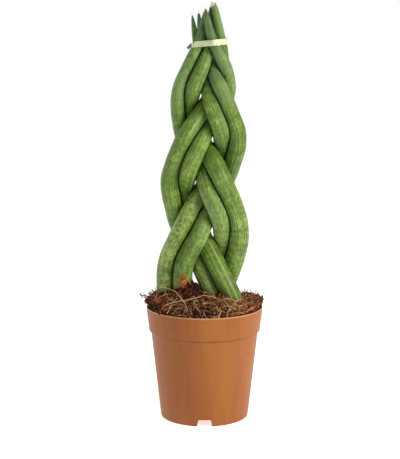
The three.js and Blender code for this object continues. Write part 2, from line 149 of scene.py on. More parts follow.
class ShaderGraph:
    """The node tree of a material or the world, grown by calls that return wires."""

    def __init__(self, owner: Union[bpy.types.Material, bpy.types.World]) -> None:
        """Empties the owner's tree.

        Args:
            owner: The material or world that holds the tree.
        """
        self.owner = owner
        self.owner.use_nodes = True
        self.tree = self.owner.node_tree
        self.tree.nodes.clear()

    @classmethod
    def of_material(cls, name: str) -> ShaderGraph:
        """Starts a new material."""
        return cls(bpy.data.materials.new(name))

    def node(
        self,
        kind: str,
        settings: Optional[dict[str, Any]] = None,
        inputs: Optional[dict[Union[str, int], Any]] = None,
    ) -> bpy.types.Node:
        """Adds a node of any kind.

        Args:
            kind: The node's type.
            settings: Its own properties, set first. "stops" gives a ramp's stops as (place, colour).
            inputs: Values or wires for its sockets, by name or number.

        Returns:
            The node.
        """
        node = self.tree.nodes.new(kind)
        for name, value in (settings or {}).items():
            if name == "stops":
                self._set_stops(node.color_ramp, value)
            else:
                setattr(node, name, value)
        for name, value in (inputs or {}).items():
            if isinstance(value, Wire):
                self.tree.links.new(value.socket, node.inputs[name])
            else:
                node.inputs[name].default_value = value
        return node

    @staticmethod
    def _set_stops(ramp: bpy.types.ColorRamp, stops: Sequence[tuple[float, Colour]]) -> None:
        """Gives a ramp its stops.

        Args:
            ramp: The ramp of a new node, which holds two stops.
            stops: Each stop's place and colour, in order.
        """
        for _ in range(len(stops) - 2):
            ramp.elements.new(0.5)
        for element, (place, colour) in zip(ramp.elements, stops):
            element.position = place
            element.color = (*colour, 1.0)

    def wire(self, node: bpy.types.Node, output: Union[str, int] = 0) -> Wire:
        """Takes an output of a node as a wire."""
        return Wire(self, node.outputs[output])

    def math(self, operation: str, *values: Number) -> Wire:
        """Adds a Math node and returns its value."""
        return self.wire(self.node("ShaderNodeMath", {"operation": operation}, dict(enumerate(values))))

    def reading(self, name: str, output: str = "Fac") -> Wire:
        """Reads one of the mesh's own values, which its maker stored at each point."""
        return self.wire(self.node("ShaderNodeAttribute", {"attribute_name": name}), output)

    def place(self) -> Wire:
        """Reads the place on the piece, in metres."""
        return self.wire(self.node("ShaderNodeTexCoord"), "Object")

    def grain(
        self, place: Wire, waves: Union[float, Place], detail: float = 2, roughness: float = 0.5
    ) -> Wire:
        """Adds smooth noise.

        Args:
            place: Where the noise is read.
            waves: Its waves to the metre, as one number or one for each axis.
            detail: How many finer octaves it holds.
            roughness: How strong each finer octave is.

        Returns:
            The noise, about 0.5.
        """
        if isinstance(waves, tuple):
            settings = {"operation": "MULTIPLY"}
            place = self.wire(self.node("ShaderNodeVectorMath", settings, {0: place, 1: waves}))
            waves = 1.0
        inputs = {"Vector": place, "Scale": waves, "Detail": detail, "Roughness": roughness}
        return self.wire(self.node("ShaderNodeTexNoise", None, inputs), "Fac")

    def ramp(self, share: Number, stops: Sequence[tuple[float, Colour]]) -> Wire:
        """Turns a share into a colour."""
        return self.wire(self.node("ShaderNodeValToRGB", {"stops": stops}, {"Fac": share}), "Color")

    def tint(self, share: Number, first: Union[Wire, Colour], second: Union[Wire, Colour]) -> Wire:
        """Mixes two colours.

        Args:
            share: How much of the second shows.
            first: The colour at 0.
            second: The colour at 1.

        Returns:
            The mixed colour.
        """
        node = self.node("ShaderNodeMix", {"data_type": "RGBA", "clamp_factor": True}, {0: share})
        for number, colour in ((6, first), (7, second)):
            if isinstance(colour, Wire):
                self.tree.links.new(colour.socket, node.inputs[number])
            else:
                node.inputs[number].default_value = (*colour, 1.0)
        return self.wire(node, 2)

    def layered(self, colour: Union[Wire, Colour], layers: Sequence[tuple[Wire, Colour]]) -> Wire:
        """Lays colours over a colour.

        Args:
            colour: The colour underneath.
            layers: How much of each colour shows, and the colour, from the lowest to the topmost.

        Returns:
            The colour that shows.
        """
        for share, upper in layers:
            colour = self.tint(share, colour, upper)
        return colour

    def relief(self, height: Wire, distance: float, strength: float = 1.0) -> Wire:
        """Turns a height into a bumped normal.

        Args:
            height: The relief, from 0 to 1.
            distance: How deep the whole relief is, in metres.
            strength: How much of it shows.

        Returns:
            The normal.
        """
        inputs = {"Height": height, "Distance": distance, "Strength": strength}
        return self.wire(self.node("ShaderNodeBump", None, inputs))

    def finished(self, **inputs: Any) -> bpy.types.Material:
        """Ends the tree in a Principled shader.

        Args:
            **inputs: Its sockets, with underscores for spaces.

        Returns:
            The material.
        """
        named = {name.replace("_", " "): value for name, value in inputs.items()}
        shader = self.wire(self.node("ShaderNodeBsdfPrincipled", None, named))
        self.node("ShaderNodeOutputMaterial", None, {"Surface": shader})
        return self.owner


# Finishes


@dataclass(frozen=True)
class LeafSkin:
    """The waxy green skin of a leaf, with lengthwise grooves and broken bands across it.

    Attributes:
        painted_seam_shade: The near-black painted shade where two leaves touch. The other colours run from
            the darkest groove to the palest fleck, and then over the leaf from its stained foot to its dried
            tip; painted_shade_bluish is the bluish painted shade on some leaves' upper parts, and frost also
            paints a highlight along a channel's edge.
        stained_to: How far above the mix the foot is stained, in millimetres.
        painted_shade_within: How far from its neighbour painted shade starts to darken a leaf, in
            millimetres.
        painted_seam_within: How far from its neighbour the near-black painted shade starts, in millimetres.
        relief: How deep the finest relief is, in millimetres.
        roughness: The roughness without its grain.
    """

    # Painted shade where two leaves touch, near black.
    painted_seam_shade: Colour = srgb(6, 10, 3)
    deep: Colour = srgb(32, 46, 15)
    band: Colour = srgb(66, 92, 27)
    green: Colour = srgb(90, 118, 28)
    crest: Colour = srgb(120, 147, 60)
    fleck: Colour = srgb(158, 177, 108)
    bloom: Colour = srgb(112, 140, 86)
    frost: Colour = srgb(172, 190, 120)
    # Bluish painted shade over the upper part of a leaf.
    painted_shade_bluish: Colour = srgb(58, 88, 56)
    foot: Colour = srgb(120, 92, 48)
    dried: Colour = srgb(232, 212, 190)
    scorched: Colour = srgb(96, 62, 42)
    stained_to: float = 9.0
    painted_shade_within: float = 3.4
    painted_seam_within: float = 2.1
    relief: float = 0.5
    roughness: float = 0.44

    def material(self) -> bpy.types.Material:
        """Makes the material.

        Returns:
            The material, which reads what a leaf stores at each point.
        """
        graph = ShaderGraph.of_material("leaf_skin")
        straight = graph.reading("straight", "Vector")
        ridge, share, mottled = graph.reading("ridge"), graph.reading("share"), graph.reading("mottled")
        painted_upper_shade, dry = graph.reading("painted_upper_shade"), graph.reading("dry")
        lines = graph.grain(straight, (640, 640, 20), 3, 0.6)
        stripes = graph.grain(straight, (300, 300, 9))
        patches = graph.grain(straight, (60, 60, 26))
        bands = graph.grain(straight, (36, 36, 150), 3, 0.6)
        hatch = graph.grain(straight, (190, 190, 310), 3, 0.55)
        broken = graph.grain(straight, (110, 110, 75)).between(0.36, 0.64)
        dashes = graph.grain(straight, (420, 420, 240)).between(0.4, 0.62)
        waxy = graph.grain(straight, (38, 38, 14)).between(0.4, 0.68)

        tone = 0.515 + (lines - 0.5) * 0.8 + (stripes - 0.5) * 0.25 + (bands - 0.5) * 0.6
        tone = tone + (ridge - 0.75) * (0.02 + 0.2 * broken)
        tone = tone + (patches - 0.5) * 0.35 - share.between(0.62, 0.95) * 0.05
        # Painted shade darkens the upper part of some leaves.
        tone = tone + (dashes - 0.5) * 0.13 - painted_upper_shade * 0.16
        greens = [(0.06, self.deep), (0.33, self.band), (0.54, self.green)]
        greens += [(0.7, self.crest), (0.86, self.fleck)]

        pale = (hatch.between(0.36, 0.64) * 0.45 + dashes * 0.55) * patches.between(0.25, 0.6)
        frosted = pale * (0.06 + 0.7 * mottled * share.between(0.62, 0.2))
        bloomed = waxy * (0.12 + 0.2 * mottled + 0.4 * share.between(0.5, 0.85))
        bloomed = bloomed + share.between(0.72, 0.83) * (0.1 + 0.45 * dashes) * (0.5 + 0.5 * mottled)
        stained = graph.reading("above").between(self.stained_to * MM, 0) * 0.7 * patches.between(0.35, 0.6)
        # Painted shade: a leaf darkens towards the deep green near another leaf, and to near black where they
        # touch.
        apart = graph.reading("apart")
        painted_contact_shade = apart.between(self.painted_seam_within * MM, 0.4 * MM)
        layers = [
            (frosted, self.frost),
            (bloomed, self.bloom),
            (painted_upper_shade * 0.5, self.painted_shade_bluish),
            # Painted highlight along one raised edge of a leaf's channel.
            (graph.reading("brow_and_highlight") * (0.3 + 0.5 * lines), self.frost),
            (stained, self.foot),
            (apart.between(self.painted_shade_within * MM, 0) * 0.75, self.deep),
            (painted_contact_shade, self.painted_seam_shade),
            (dry.between(0.02, 0.3) * 0.6, self.scorched),
            (dry.between(0.34, 0.6), self.dried),
        ]
        return graph.finished(
            Base_Color=graph.layered(graph.ramp(tone, greens), layers),
            Roughness=self.roughness + 0.14 * waxy - 0.08 * lines + 0.45 * painted_contact_shade,
            Normal=graph.relief(ridge * 0.35 + lines * 0.5 + hatch * 0.15, self.relief * MM, 0.9),
            Specular_IOR_Level=0.32,
        )


@dataclass(frozen=True)
class PotPlastic:
    """Moulded terracotta-coloured polypropylene, satin, with faint flow marks, scuffs, a painted highlight
    along the lip and painted shade in the crease under the band.

    Attributes:
        lip: The height in millimetres where the painted highlight along the lip is strongest.
        crease: The height in millimetres of the crease under the band, which painted shade darkens.
        roughness: The roughness without its grain.
    """

    body: Colour = srgb(149, 88, 29)
    deep: Colour = srgb(139, 75, 25)
    # The colour of scuffs, and of the painted highlight along the lip.
    scuff_and_lip_highlight: Colour = srgb(204, 150, 108)
    # The dark brown painted shade in the crease under the band.
    painted_crease_shade: Colour = srgb(84, 38, 14)
    lip: float = 134.2
    crease: float = 106.0
    roughness: float = 0.42

    def material(self) -> bpy.types.Material:
        """Makes the material.

        Returns:
            The material, which reads the place on the pot.
        """
        graph = ShaderGraph.of_material("pot_plastic")
        place = graph.place()
        height = graph.wire(graph.node("ShaderNodeSeparateXYZ", None, {0: place}), "Z")
        flow = graph.grain(place, (46, 46, 5), 3, 0.55)
        specks = graph.grain(place, 2600, 2, 0.6)
        # Painted shade along the crease under the band, where a shadow line falls.
        painted_crease_mask = height.between((self.crease - 2.6) * MM, (self.crease - 0.4) * MM)
        painted_crease_mask = painted_crease_mask * height.between((self.crease + 1.5) * MM, (self.crease + 0.5) * MM)
        layers = [
            (flow.between(0.3, 0.7), self.body),
            (graph.grain(place, (210, 210, 84), 3, 0.6).between(0.6, 0.82) * 0.16, self.scuff_and_lip_highlight),
            (painted_crease_mask * 0.45, self.painted_crease_shade),
            # Painted highlight along the top of the lip.
            (height.between((self.lip - 1.2) * MM, self.lip * MM) * 0.6, self.scuff_and_lip_highlight),
        ]
        return graph.finished(
            Base_Color=graph.layered(self.deep, layers),
            Roughness=self.roughness + 0.08 * flow + 0.06 * specks,
            Normal=graph.relief(specks * 0.5 + flow * 0.5, 0.1 * MM, 0.3),
            Specular_IOR_Level=0.3,
        )


@dataclass(frozen=True)
class CoirMix:
    """The mix of coir dust, chips and threads, whose colour comes from each scrap's own tone.

    Attributes:
        name: The material's name.
        stops: The colour for each tone, from the darkest dust to the palest fibre.
        grain: The waves to the metre of its mottling.
        relief: How deep its grain is, in millimetres.
    """

    name: str = "coir_mix"
    stops: tuple[tuple[float, Colour], ...] = (
        (0.0, srgb(22, 11, 8)),
        (0.28, srgb(64, 31, 22)),
        (0.52, srgb(119, 59, 37)),
        (0.76, srgb(184, 117, 63)),
        (1.0, srgb(236, 206, 160)),
    )
    grain: float = 1400
    relief: float = 0.5

    def material(self) -> bpy.types.Material:
        """Makes the material.

        Returns:
            The material, which reads "tone".
        """
        graph = ShaderGraph.of_material(self.name)
        mottle = graph.grain(graph.place(), self.grain, 3, 0.6)
        tone = graph.reading("tone") + (mottle - 0.5) * 0.35
        return graph.finished(
            Base_Color=graph.ramp(tone, self.stops),
            Roughness=0.8 + 0.15 * mottle,
            Normal=graph.relief(mottle, self.relief * MM, 0.8),
            Specular_IOR_Level=0.2,
        )


@dataclass(frozen=True)
class TieTape:
    """The pale green tape of the twist tie, with streaks along it, painted shade and a painted highlight
    where it folds.
    """

    pale: Colour = srgb(215, 222, 188)
    green: Colour = srgb(168, 184, 128)
    olive: Colour = srgb(120, 118, 66)
    # The painted highlight where the tape folds over.
    shine: Colour = srgb(240, 242, 220)
    roughness: float = 0.42

    def material(self) -> bpy.types.Material:
        """Makes the material.

        Returns:
            The material, which reads "across", from 0 to 1 over the tape's width, "olive_and_shade", an olive
            tint that also paints shade, and "fold_highlight", a painted highlight.
        """
        graph = ShaderGraph.of_material("tie_tape")
        streaks = graph.grain(graph.place(), (60, 60, 1500))
        edges = (graph.reading("across") * 2 - 1) ** 2
        layers = [
            (streaks.between(0.35, 0.65) * 0.7 + edges * 0.3, self.green),
            # Olive tint, which paints shade on the loop and colours the twisted ends.
            (graph.reading("olive_and_shade"), self.olive),
            # Painted highlight where the tape folds.
            (graph.reading("fold_highlight"), self.shine),
        ]
        return graph.finished(
            Base_Color=graph.layered(self.pale, layers),
            Roughness=self.roughness + 0.1 * streaks,
            Normal=graph.relief(streaks, 0.2 * MM, 0.6),
        )


@dataclass(frozen=True)
class PaleFloor:
    """The plain pale floor that the plant stands on."""

    colour: Colour = (0.9, 0.9, 0.9)
    roughness: float = 0.6
    glow: float = 0.7

    def material(self) -> bpy.types.Material:
        """Makes the material, which glows a little so that the far floor stays as pale as the near."""
        return ShaderGraph.of_material("pale_floor").finished(
            Base_Color=(*self.colour, 1.0),
            Roughness=self.roughness,
            Emission_Color=(1.0, 1.0, 1.0, 1.0),
            Emission_Strength=self.glow,
        )


# Meshes


@dataclass
class Surface:
    """Points and faces of a mesh, with the values that its finish reads at each point."""

    points: np.ndarray
    faces: list[Face]
    readings: dict[str, np.ndarray] = field(default_factory=dict)

    def piece(self, name: str, material: bpy.types.Material, slot: str, crease: float) -> bpy.types.Object:
        """Makes the Blender object, which rides on the plant's one body.

        Args:
            name: The object's name.
            material: Its finish.
            slot: Not used.
            crease: The angle in degrees past which an edge shows as sharp.

        Returns:
            The object.
        """
        mesh = bpy.data.meshes.new(name)
        mesh.from_pydata(self.points.tolist(), [], self.faces)
        for reading, values in self.readings.items():
            kind, slots = ("FLOAT_VECTOR", "vector") if values.ndim == 2 else ("FLOAT", "value")
            mesh.attributes.new(reading, kind, "POINT").data.foreach_set(slots, values.ravel())
        mesh.materials.append(material)
        mesh.polygons.foreach_set("use_smooth", [True] * len(mesh.polygons))
        mesh.set_sharp_from_angle(angle=math.radians(crease))
        mesh.update()
        item = bpy.data.objects.new(name, mesh)
        bpy.context.scene.collection.objects.link(item)
        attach(item, BODY)
        log.info("%s: %d faces", name, len(mesh.polygons))
        return item


def joined(surfaces: Sequence[Surface]) -> Surface:
    """Joins surfaces that hold the same readings.

    Args:
        surfaces: The surfaces.

    Returns:
        One surface.
    """
    starts = np.cumsum([0] + [len(surface.points) for surface in surfaces])
    faces = [
        tuple(int(corner + start) for corner in face)
        for surface, start in zip(surfaces, starts)
        for face in surface.faces
    ]
    readings = {name: np.concatenate([s.readings[name] for s in surfaces]) for name in surfaces[0].readings}
    return Surface(np.concatenate([surface.points for surface in surfaces]), faces, readings)


def lattice_faces(rings: int, around: int, start: int = 0, closed: bool = False) -> list[Face]:
    """Lists the faces between rings of points.

    Args:
        rings: How many rings there are.
        around: How many points each has, turning from side towards up of its frame.
        start: The number of the first point.
        closed: Whether the last ring is joined to the first.

    Returns:
        Quads that face out where the rings go along their axis.
    """
    faces = []
    for ring in range(rings if closed else rings - 1):
        low, high = start + ring * around, start + (ring + 1) % rings * around
        for k in range(around):
            after = (k + 1) % around
            faces.append((low + k, low + after, high + after, high + k))
    return faces


def tube_faces(rings: int, around: int) -> list[Face]:
    """Lists the faces of a tube with flat ends, made of rings as in lattice_faces."""
    ends = [tuple(reversed(range(around))), tuple(range((rings - 1) * around, rings * around))]
    return lattice_faces(rings, around) + ends


def fan_faces(centre: int, start: int, around: int, turned: bool = False) -> list[Face]:
    """Lists the triangles between a point and a ring round it.

    Args:
        centre: The point's number.
        start: The number of the ring's first point.
        around: How many points the ring has.
        turned: Whether the triangles face back along the ring's axis.

    Returns:
        The triangles.
    """
    pairs = [(start + k, start + (k + 1) % around) for k in range(around)]
    return [(centre, after, before) if turned else (centre, before, after) for before, after in pairs]


def turned_round(faces: Sequence[Face]) -> list[Face]:
    """Makes faces face the other way, each from the same first corner, so that quads stay split as before."""
    return [(face[0], *face[:0:-1]) for face in faces]


def full_turn(count: int) -> np.ndarray:
    """Spaces angles evenly round a full turn."""
    return np.arange(count) / count * 2 * math.pi


def eased(share: Values) -> Values:
    """Makes a share leave 0 and reach 1 gently, and keeps it between them."""
    share = np.clip(share, 0, 1)
    return share**2 * (3 - 2 * share)


def spokes(side: np.ndarray, up: np.ndarray, turn: np.ndarray) -> np.ndarray:
    """Points out of a route all round it.

    Args:
        side: The unit vector to the side at each point of the route, in rows.
        up: The unit vector across it.
        turn: The angles, from side towards up.

    Returns:
        The unit vectors, by point of the route and by angle.
    """
    return np.cos(turn)[None, :, None] * side[:, None, :] + np.sin(turn)[None, :, None] * up[:, None, :]


def run_along(points: np.ndarray) -> np.ndarray:
    """Measures how far along a route each of its points lies."""
    return np.concatenate([[0], np.cumsum(np.linalg.norm(np.diff(points, axis=0), axis=1))])


def along_route(points: np.ndarray) -> tuple[np.ndarray, np.ndarray, np.ndarray]:
    """Carries a frame along a route without twisting it.

    Args:
        points: The route's points, in rows.

    Returns:
        The unit vectors along the route, to its side and across both, in rows. side, across and along are a
        right-handed set.
    """
    along = np.gradient(points, axis=0)
    along /= np.linalg.norm(along, axis=1, keepdims=True)
    side = np.empty_like(along)
    held = np.array([1.0, 0.0, 0.0]) if abs(along[0, 0]) < 0.9 else np.array([0.0, 0.0, 1.0])
    for i, direction in enumerate(along):
        held = held - held.dot(direction) * direction
        held /= np.linalg.norm(held)
        side[i] = held
    return along, side, np.cross(along, side)


def smooth_route(knots: np.ndarray, count: int) -> np.ndarray:
    """Runs a smooth curve through knots.

    Args:
        knots: The points that the curve passes through, in rows.
        count: How many points to return.

    Returns:
        The curve's points, evenly spaced.
    """
    slopes = np.gradient(knots, axis=0)
    at = np.linspace(0, len(knots) - 1, 8 * count)
    i = np.minimum(at.astype(int), len(knots) - 2)
    t = (at - i)[:, None]
    curve = (
        (2 * t**3 - 3 * t**2 + 1) * knots[i]
        + (t**3 - 2 * t**2 + t) * slopes[i]
        + (3 * t**2 - 2 * t**3) * knots[i + 1]
        + (t**3 - t**2) * slopes[i + 1]
    )
    run = run_along(curve)
    even = np.linspace(0, run[-1], count)
    return np.stack([np.interp(even, run, curve[:, axis]) for axis in range(3)], axis=1)


def thread(route: np.ndarray, radii: np.ndarray, sides: int, tone: float) -> Surface:
    """Makes a closed thread along a route.

    Args:
        route: The route's points, in rows.
        radii: The thread's radius at each.
        sides: How many sides it has.
        tone: The tone of its colour.

    Returns:
        The thread.
    """
    _, side, up = along_route(route)
    out = spokes(side, up, full_turn(sides))
    points = (route[:, None, :] + radii[:, None, None] * out).reshape(-1, 3)
    return Surface(points, tube_faces(len(route), sides), {"tone": np.full(len(points), tone)})


# The leaves


@dataclass
class CentreLine:
    """A leaf's centre line, in metres from its foot to its tip, with its radius."""

    RING_SIZE: ClassVar[int] = 16
    NEAR: ClassVar[float] = 16 * MM
    points: np.ndarray
    radii: np.ndarray

    @classmethod
    def of_node(cls, node: bpy.types.Object) -> CentreLine:
        """Reads the centre line back from a leaf's CAD solid, whose points lie in rings round it.

        Args:
            node: The leaf's CAD node.

        Returns:
            The centre line.
        """
        shape = bmesh.new()
        shape.from_mesh(node.data)
        bmesh.ops.remove_doubles(shape, verts=shape.verts, dist=0.002 * MM)
        poles = [vert for vert in shape.verts if len(vert.link_edges) >= cls.RING_SIZE]
        level = {max(poles, key=lambda vert: vert.co.z)}
        seen = set(level)
        centres, radii = [], []
        while level:
            level = {edge.other_vert(vert) for vert in level for edge in vert.link_edges} - seen
            seen |= level
            if len(level) == cls.RING_SIZE:
                ring = np.array([vert.co for vert in level])
                centres.append(ring.mean(axis=0))
                radii.append(np.linalg.norm(ring - centres[-1], axis=1).max())
        shape.free()
        return cls(np.array(centres[::-1]), np.array(radii[::-1]))

    def clearance(self, places: np.ndarray) -> np.ndarray:
        """Measures how far places are from the leaf's skin.

        Args:
            places: The places, in rows.

        Returns:
            The distances in metres, by the nearest point of the centre line, or 1 where none is near.
        """
        clear = np.full(len(places), 1.0)
        for point, radius in zip(self.points, self.radii):
            near = np.abs(places[:, 2] - point[2]) < self.NEAR
            away = np.linalg.norm(places[near] - point, axis=1) - radius
            clear[near] = np.minimum(clear[near], away)
        return clear

    def fine(self, count: int) -> CentreLine:
        """Makes the line finer.

        Args:
            count: How many points the finer line has.

        Returns:
            The finer line, eased where it bends or its radius changes pace.
        """
        points = smooth_route(self.points, count)
        place = np.linspace(0, 1, len(self.radii))
        radii = np.interp(np.linspace(0, 1, count), place, self.radii)
        reach = max(2, count // 26)
        kernel = np.hanning(2 * reach + 3)[1:-1]
        rows = []
        for values in (*points.T, radii):
            padded = np.pad(values, reach, mode="reflect", reflect_type="odd")
            rows.append(np.convolve(padded, kernel / kernel.sum(), mode="valid"))
        return CentreLine(np.stack(rows[:3], axis=1), rows[3])


class Tip(Enum):
    """How a leaf ends."""

    THORN = "a thin dried point"
    CAP = "a blunt end under a withered cap"


@dataclass
class Leaf:
    """One cylindrical leaf, dressed over its CAD solid.

    Attributes:
        node: The CAD node's name.
        seed: What its own grain, ridges and flakes are drawn from.
        tip: How it ends.
        tip_length: How long the dried end is, in millimetres.
        dry_from: The share of its length where it starts to dry.
        flakes: How many torn scales stand round a cap.
        channel: The angle in degrees of its broad channel, or None where it has none.
        mottled: How pale its foot is mottled, from 0 to 1.
        painted_upper_shade: How strongly painted shade darkens its upper part and turns it bluish, from 0 to
            1.
        painted_upper_shade_from: The share of its length where that painted shade starts.
        ridges: How many ridges run along it.
        depth: How deep the grooves between them are, in millimetres.
        plump: How far it stands proud of its solid, in millimetres.
        meets_within: How near another leaf it is pressed flat against it, in millimetres.
        around: How many points it has round its girth.
    """

    node: str
    seed: int
    tip: Tip = Tip.THORN
    tip_length: float = 5.0
    dry_from: float = 0.985
    flakes: int = 9
    channel: Optional[float] = None
    mottled: float = 1.0
    painted_upper_shade: float = 0.0
    painted_upper_shade_from: float = 0.9
    ridges: int = 27
    depth: float = 0.2
    plump: float = 0.42
    meets_within: float = 1.3
    around: int = 135

    def build(
        self, line: CentreLine, others: Sequence[CentreLine], skin: bpy.types.Material, mix: CoirHeap
    ) -> bpy.types.Object:
        """Makes the leaf.

        Args:
            line: Its fine centre line.
            others: The other leaves' fine centre lines.
            skin: Its finish.
            mix: The heap that it stands in.

        Returns:
            The piece.
        """
        body = self._with_tip(line)
        _, side, up = along_route(body.points)
        run = run_along(body.points)
        share = run / run[-1]
        turn = full_turn(self.around)
        crest = self._crests(turn, run)
        dip, brow_and_highlight = self._channel(turn, share)
        proud = (self.plump - self.depth * (1 - crest)) * self._relief_share(body.radii)
        radius = body.radii[:, None] * (1 + self._swell(turn, run)) + (proud - dip) * MM
        out = spokes(side, up, turn)
        points = (body.points[:, None, :] + radius[:, :, None] * out).reshape(-1, 3)
        apart = np.min([other.clearance(points) for other in others], axis=0) - self.plump * MM
        pressed = np.clip((self.meets_within * MM - apart) / (0.7 * MM), 0, 1)
        points += (0.5 * apart * pressed)[:, None] * out.reshape(-1, 3)
        count = len(points)
        faces = lattice_faces(len(body.points), self.around)
        faces += fan_faces(count, 0, self.around, turned=True)
        faces += fan_faces(count + 1, count - self.around, self.around)
        readings = self._readings(turn, run, body, points, mix)
        readings["ridge"] = np.append(crest.ravel(), [1.0, 1.0])
        readings["apart"] = np.append(apart, [1.0, 1.0])
        readings["brow_and_highlight"] = np.append(brow_and_highlight.ravel(), [0.0, 0.0])
        surface = Surface(np.concatenate([points, body.points[[0, -1]]]), faces, readings)
        if self.tip is Tip.CAP:
            surface = joined([surface] + self._flakes(body, surface))
        piece = surface.piece(f"{self.node}_skin", skin, "leaf", crease=70)
        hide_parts(self.node)
        return piece

    def _with_tip(self, line: CentreLine) -> CentreLine:
        """Adds the dried end.

        Args:
            line: The leaf's fine centre line.

        Returns:
            The longer line.
        """
        heading = line.points[-1] - line.points[-4]
        heading /= np.linalg.norm(heading)
        share = np.linspace(0, 1, 15)[1:]
        if self.tip is Tip.THORN:
            profile = 0.2 + 0.8 * (1 - share) ** 3 - 0.12 * share
        else:
            profile = 1 - 0.85 * share**2.2
        points = line.points[-1] + heading * share[:, None] * self.tip_length * MM
        radii = np.append(line.radii, line.radii[-1] * profile)
        return CentreLine(np.concatenate([line.points, points]), radii)

    def _flakes(self, body: CentreLine, surface: Surface) -> list[Surface]:
        """Makes the torn scales that stand round a withered end.

        Args:
            body: The leaf's line.
            surface: The leaf, whose readings the scales share.

        Returns:
            The scales.
        """
        draw = np.random.default_rng(self.seed + 50)
        heading = body.points[-1] - body.points[-2]
        heading /= np.linalg.norm(heading)
        parts = []
        for turn in full_turn(self.flakes):
            out = np.array([math.cos(turn), math.sin(turn), 0.0])
            inset = draw.uniform(0.45, 0.85)
            root = body.points[-1] - heading * 1.5 * MM + out * body.radii[-14] * inset
            length, lean = draw.uniform(1.6, 6.0) * MM, draw.uniform(-1.2, 3.2) * MM
            end = root + heading * length + out * lean
            middle = (root + end) / 2 + heading * draw.uniform(0, 0.8) * MM
            route = smooth_route(np.array([root, middle, end]), 7)
            flake = thread(route, np.linspace(draw.uniform(0.4, 1.1), 0.16, 7) * MM, 6, 0.0)
            count = len(flake.points)
            kept = surface.readings.items()
            flake.readings = {name: np.repeat(values[-1:], count, axis=0) for name, values in kept}
            flake.readings["dry"] = np.full(count, draw.choice([0.3, 0.8, 0.9, 1.0, 1.0]))
            parts.append(flake)
        return parts

    def _crests(self, turn: np.ndarray, run: np.ndarray) -> np.ndarray:
        """Raises the ridges.

        Args:
            turn: The angle of each point of a ring.
            run: How far along the leaf each ring lies, in metres.

        Returns:
            How high on a ridge each point lies, from 0 in a groove to 1 on a crest.
        """
        draw = np.random.default_rng(self.seed)
        strength = draw.uniform(0.5, 1.0, self.ridges)
        drift = 0.05 * np.sin(run * 23 + self.seed) + 0.02 * np.sin(run * 71 + 2 * self.seed)
        warp = 0.11 * np.sin(3 * turn + self.seed) + 0.07 * np.sin(5 * turn + 2 * self.seed)
        phase = (turn + warp)[None, :] / (2 * math.pi) * self.ridges + drift[:, None] * self.ridges / 4
        nearest = np.round(phase).astype(int) % self.ridges
        off = np.abs(phase - np.round(phase)) * 2
        return 1 - strength[nearest] * np.exp(-((off / 0.42) ** 2))

    def _swell(self, turn: np.ndarray, run: np.ndarray) -> np.ndarray:
        """Swells and narrows the leaf along its length and round its girth.

        Args:
            turn: The angle of each point of a ring.
            run: How far along the leaf each ring lies, in metres.

        Returns:
            The share of its radius that each point is swollen by.
        """
        along = 0.012 * np.sin(run * 95 + self.seed) + 0.008 * np.sin(run * 240 + 3 * self.seed)
        return along[:, None] + 0.014 * np.cos(2 * turn[None, :] + self.seed + 9 * run[:, None])

    @staticmethod
    def _relief_share(radii: np.ndarray) -> np.ndarray:
        """Says how much of the ridges shows, which is less where the leaf is thin."""
        return np.clip(radii / (8 * MM), 0.1, 1)[:, None]

    def _channel(self, turn: np.ndarray, share: np.ndarray) -> tuple[np.ndarray, np.ndarray]:
        """Shapes the leaf's one broad channel.

        Args:
            turn: The angle of each point of a ring.
            share: The share of the leaf's length at each ring.

        Returns:
            The channel's depth in millimetres at each point, and how much painted highlight lies along its
            raised edge there.
        """
        if self.channel is None:
            return np.zeros((len(share), len(turn))), np.zeros((len(share), len(turn)))
        off = np.angle(np.exp(1j * (turn - math.radians(self.channel))))
        fade = np.clip((0.9 - share) * 3, 0, 1)[:, None]
        # One raised edge of the channel also carries the painted highlight; the other only shapes the
        # channel.
        brow_and_highlight = np.exp(-(((off - 0.34) / 0.09) ** 2))
        other = np.exp(-(((off + 0.34) / 0.09) ** 2))
        dip = 0.7 * np.exp(-((off / 0.22) ** 2)) - 0.3 * (brow_and_highlight + other)
        shown = np.clip((0.6 - share) * 4, 0.25, 1)[:, None]
        return dip[None, :] * fade, brow_and_highlight[None, :] * shown

    def _readings(
        self, turn: np.ndarray, run: np.ndarray, body: CentreLine, points: np.ndarray, mix: CoirHeap
    ) -> dict[str, np.ndarray]:
        """Works out what the skin reads from the leaf's length and place.

        Args:
            turn: The angle of each point of a ring.
            run: How far along the leaf each ring lies, in metres.
            body: The leaf's line.
            points: The points of its rings, in rows.
            mix: The heap that it stands in.

        Returns:
            The readings at each point, with the two end points last.
        """
        share = run / run[-1]
        girth = body.radii[:, None]
        straight = np.stack(
            [
                girth * np.cos(turn)[None, :] + self.seed,
                girth * np.sin(turn)[None, :],
                np.broadcast_to(run[:, None] + 0.7 * self.seed, (len(run), self.around)),
            ],
            axis=2,
        ).reshape(-1, 3)
        dry = np.clip((share - self.dry_from) / (1 - self.dry_from), 0, 1)
        above = points[:, 2] - mix.height(points[:, 0] / MM, points[:, 1] / MM) * MM

        def spread(values: np.ndarray) -> np.ndarray:
            """Gives each point of a ring its ring's value, and the end points the end values."""
            return np.concatenate([np.repeat(values, self.around), values[[0, -1]]])

        return {
            "straight": np.concatenate([straight, straight[[0, -1]]]),
            "mottled": np.full(len(points) + 2, self.mottled),
            # Painted shade over the leaf's upper part, from where it starts.
            "painted_upper_shade": spread(self.painted_upper_shade * np.clip((share - self.painted_upper_shade_from) / 0.02, 0, 1)),
            "share": spread(share),
            "dry": spread(dry),
            "above": np.concatenate([above, above[[0, -1]]]),
        }


# The pot


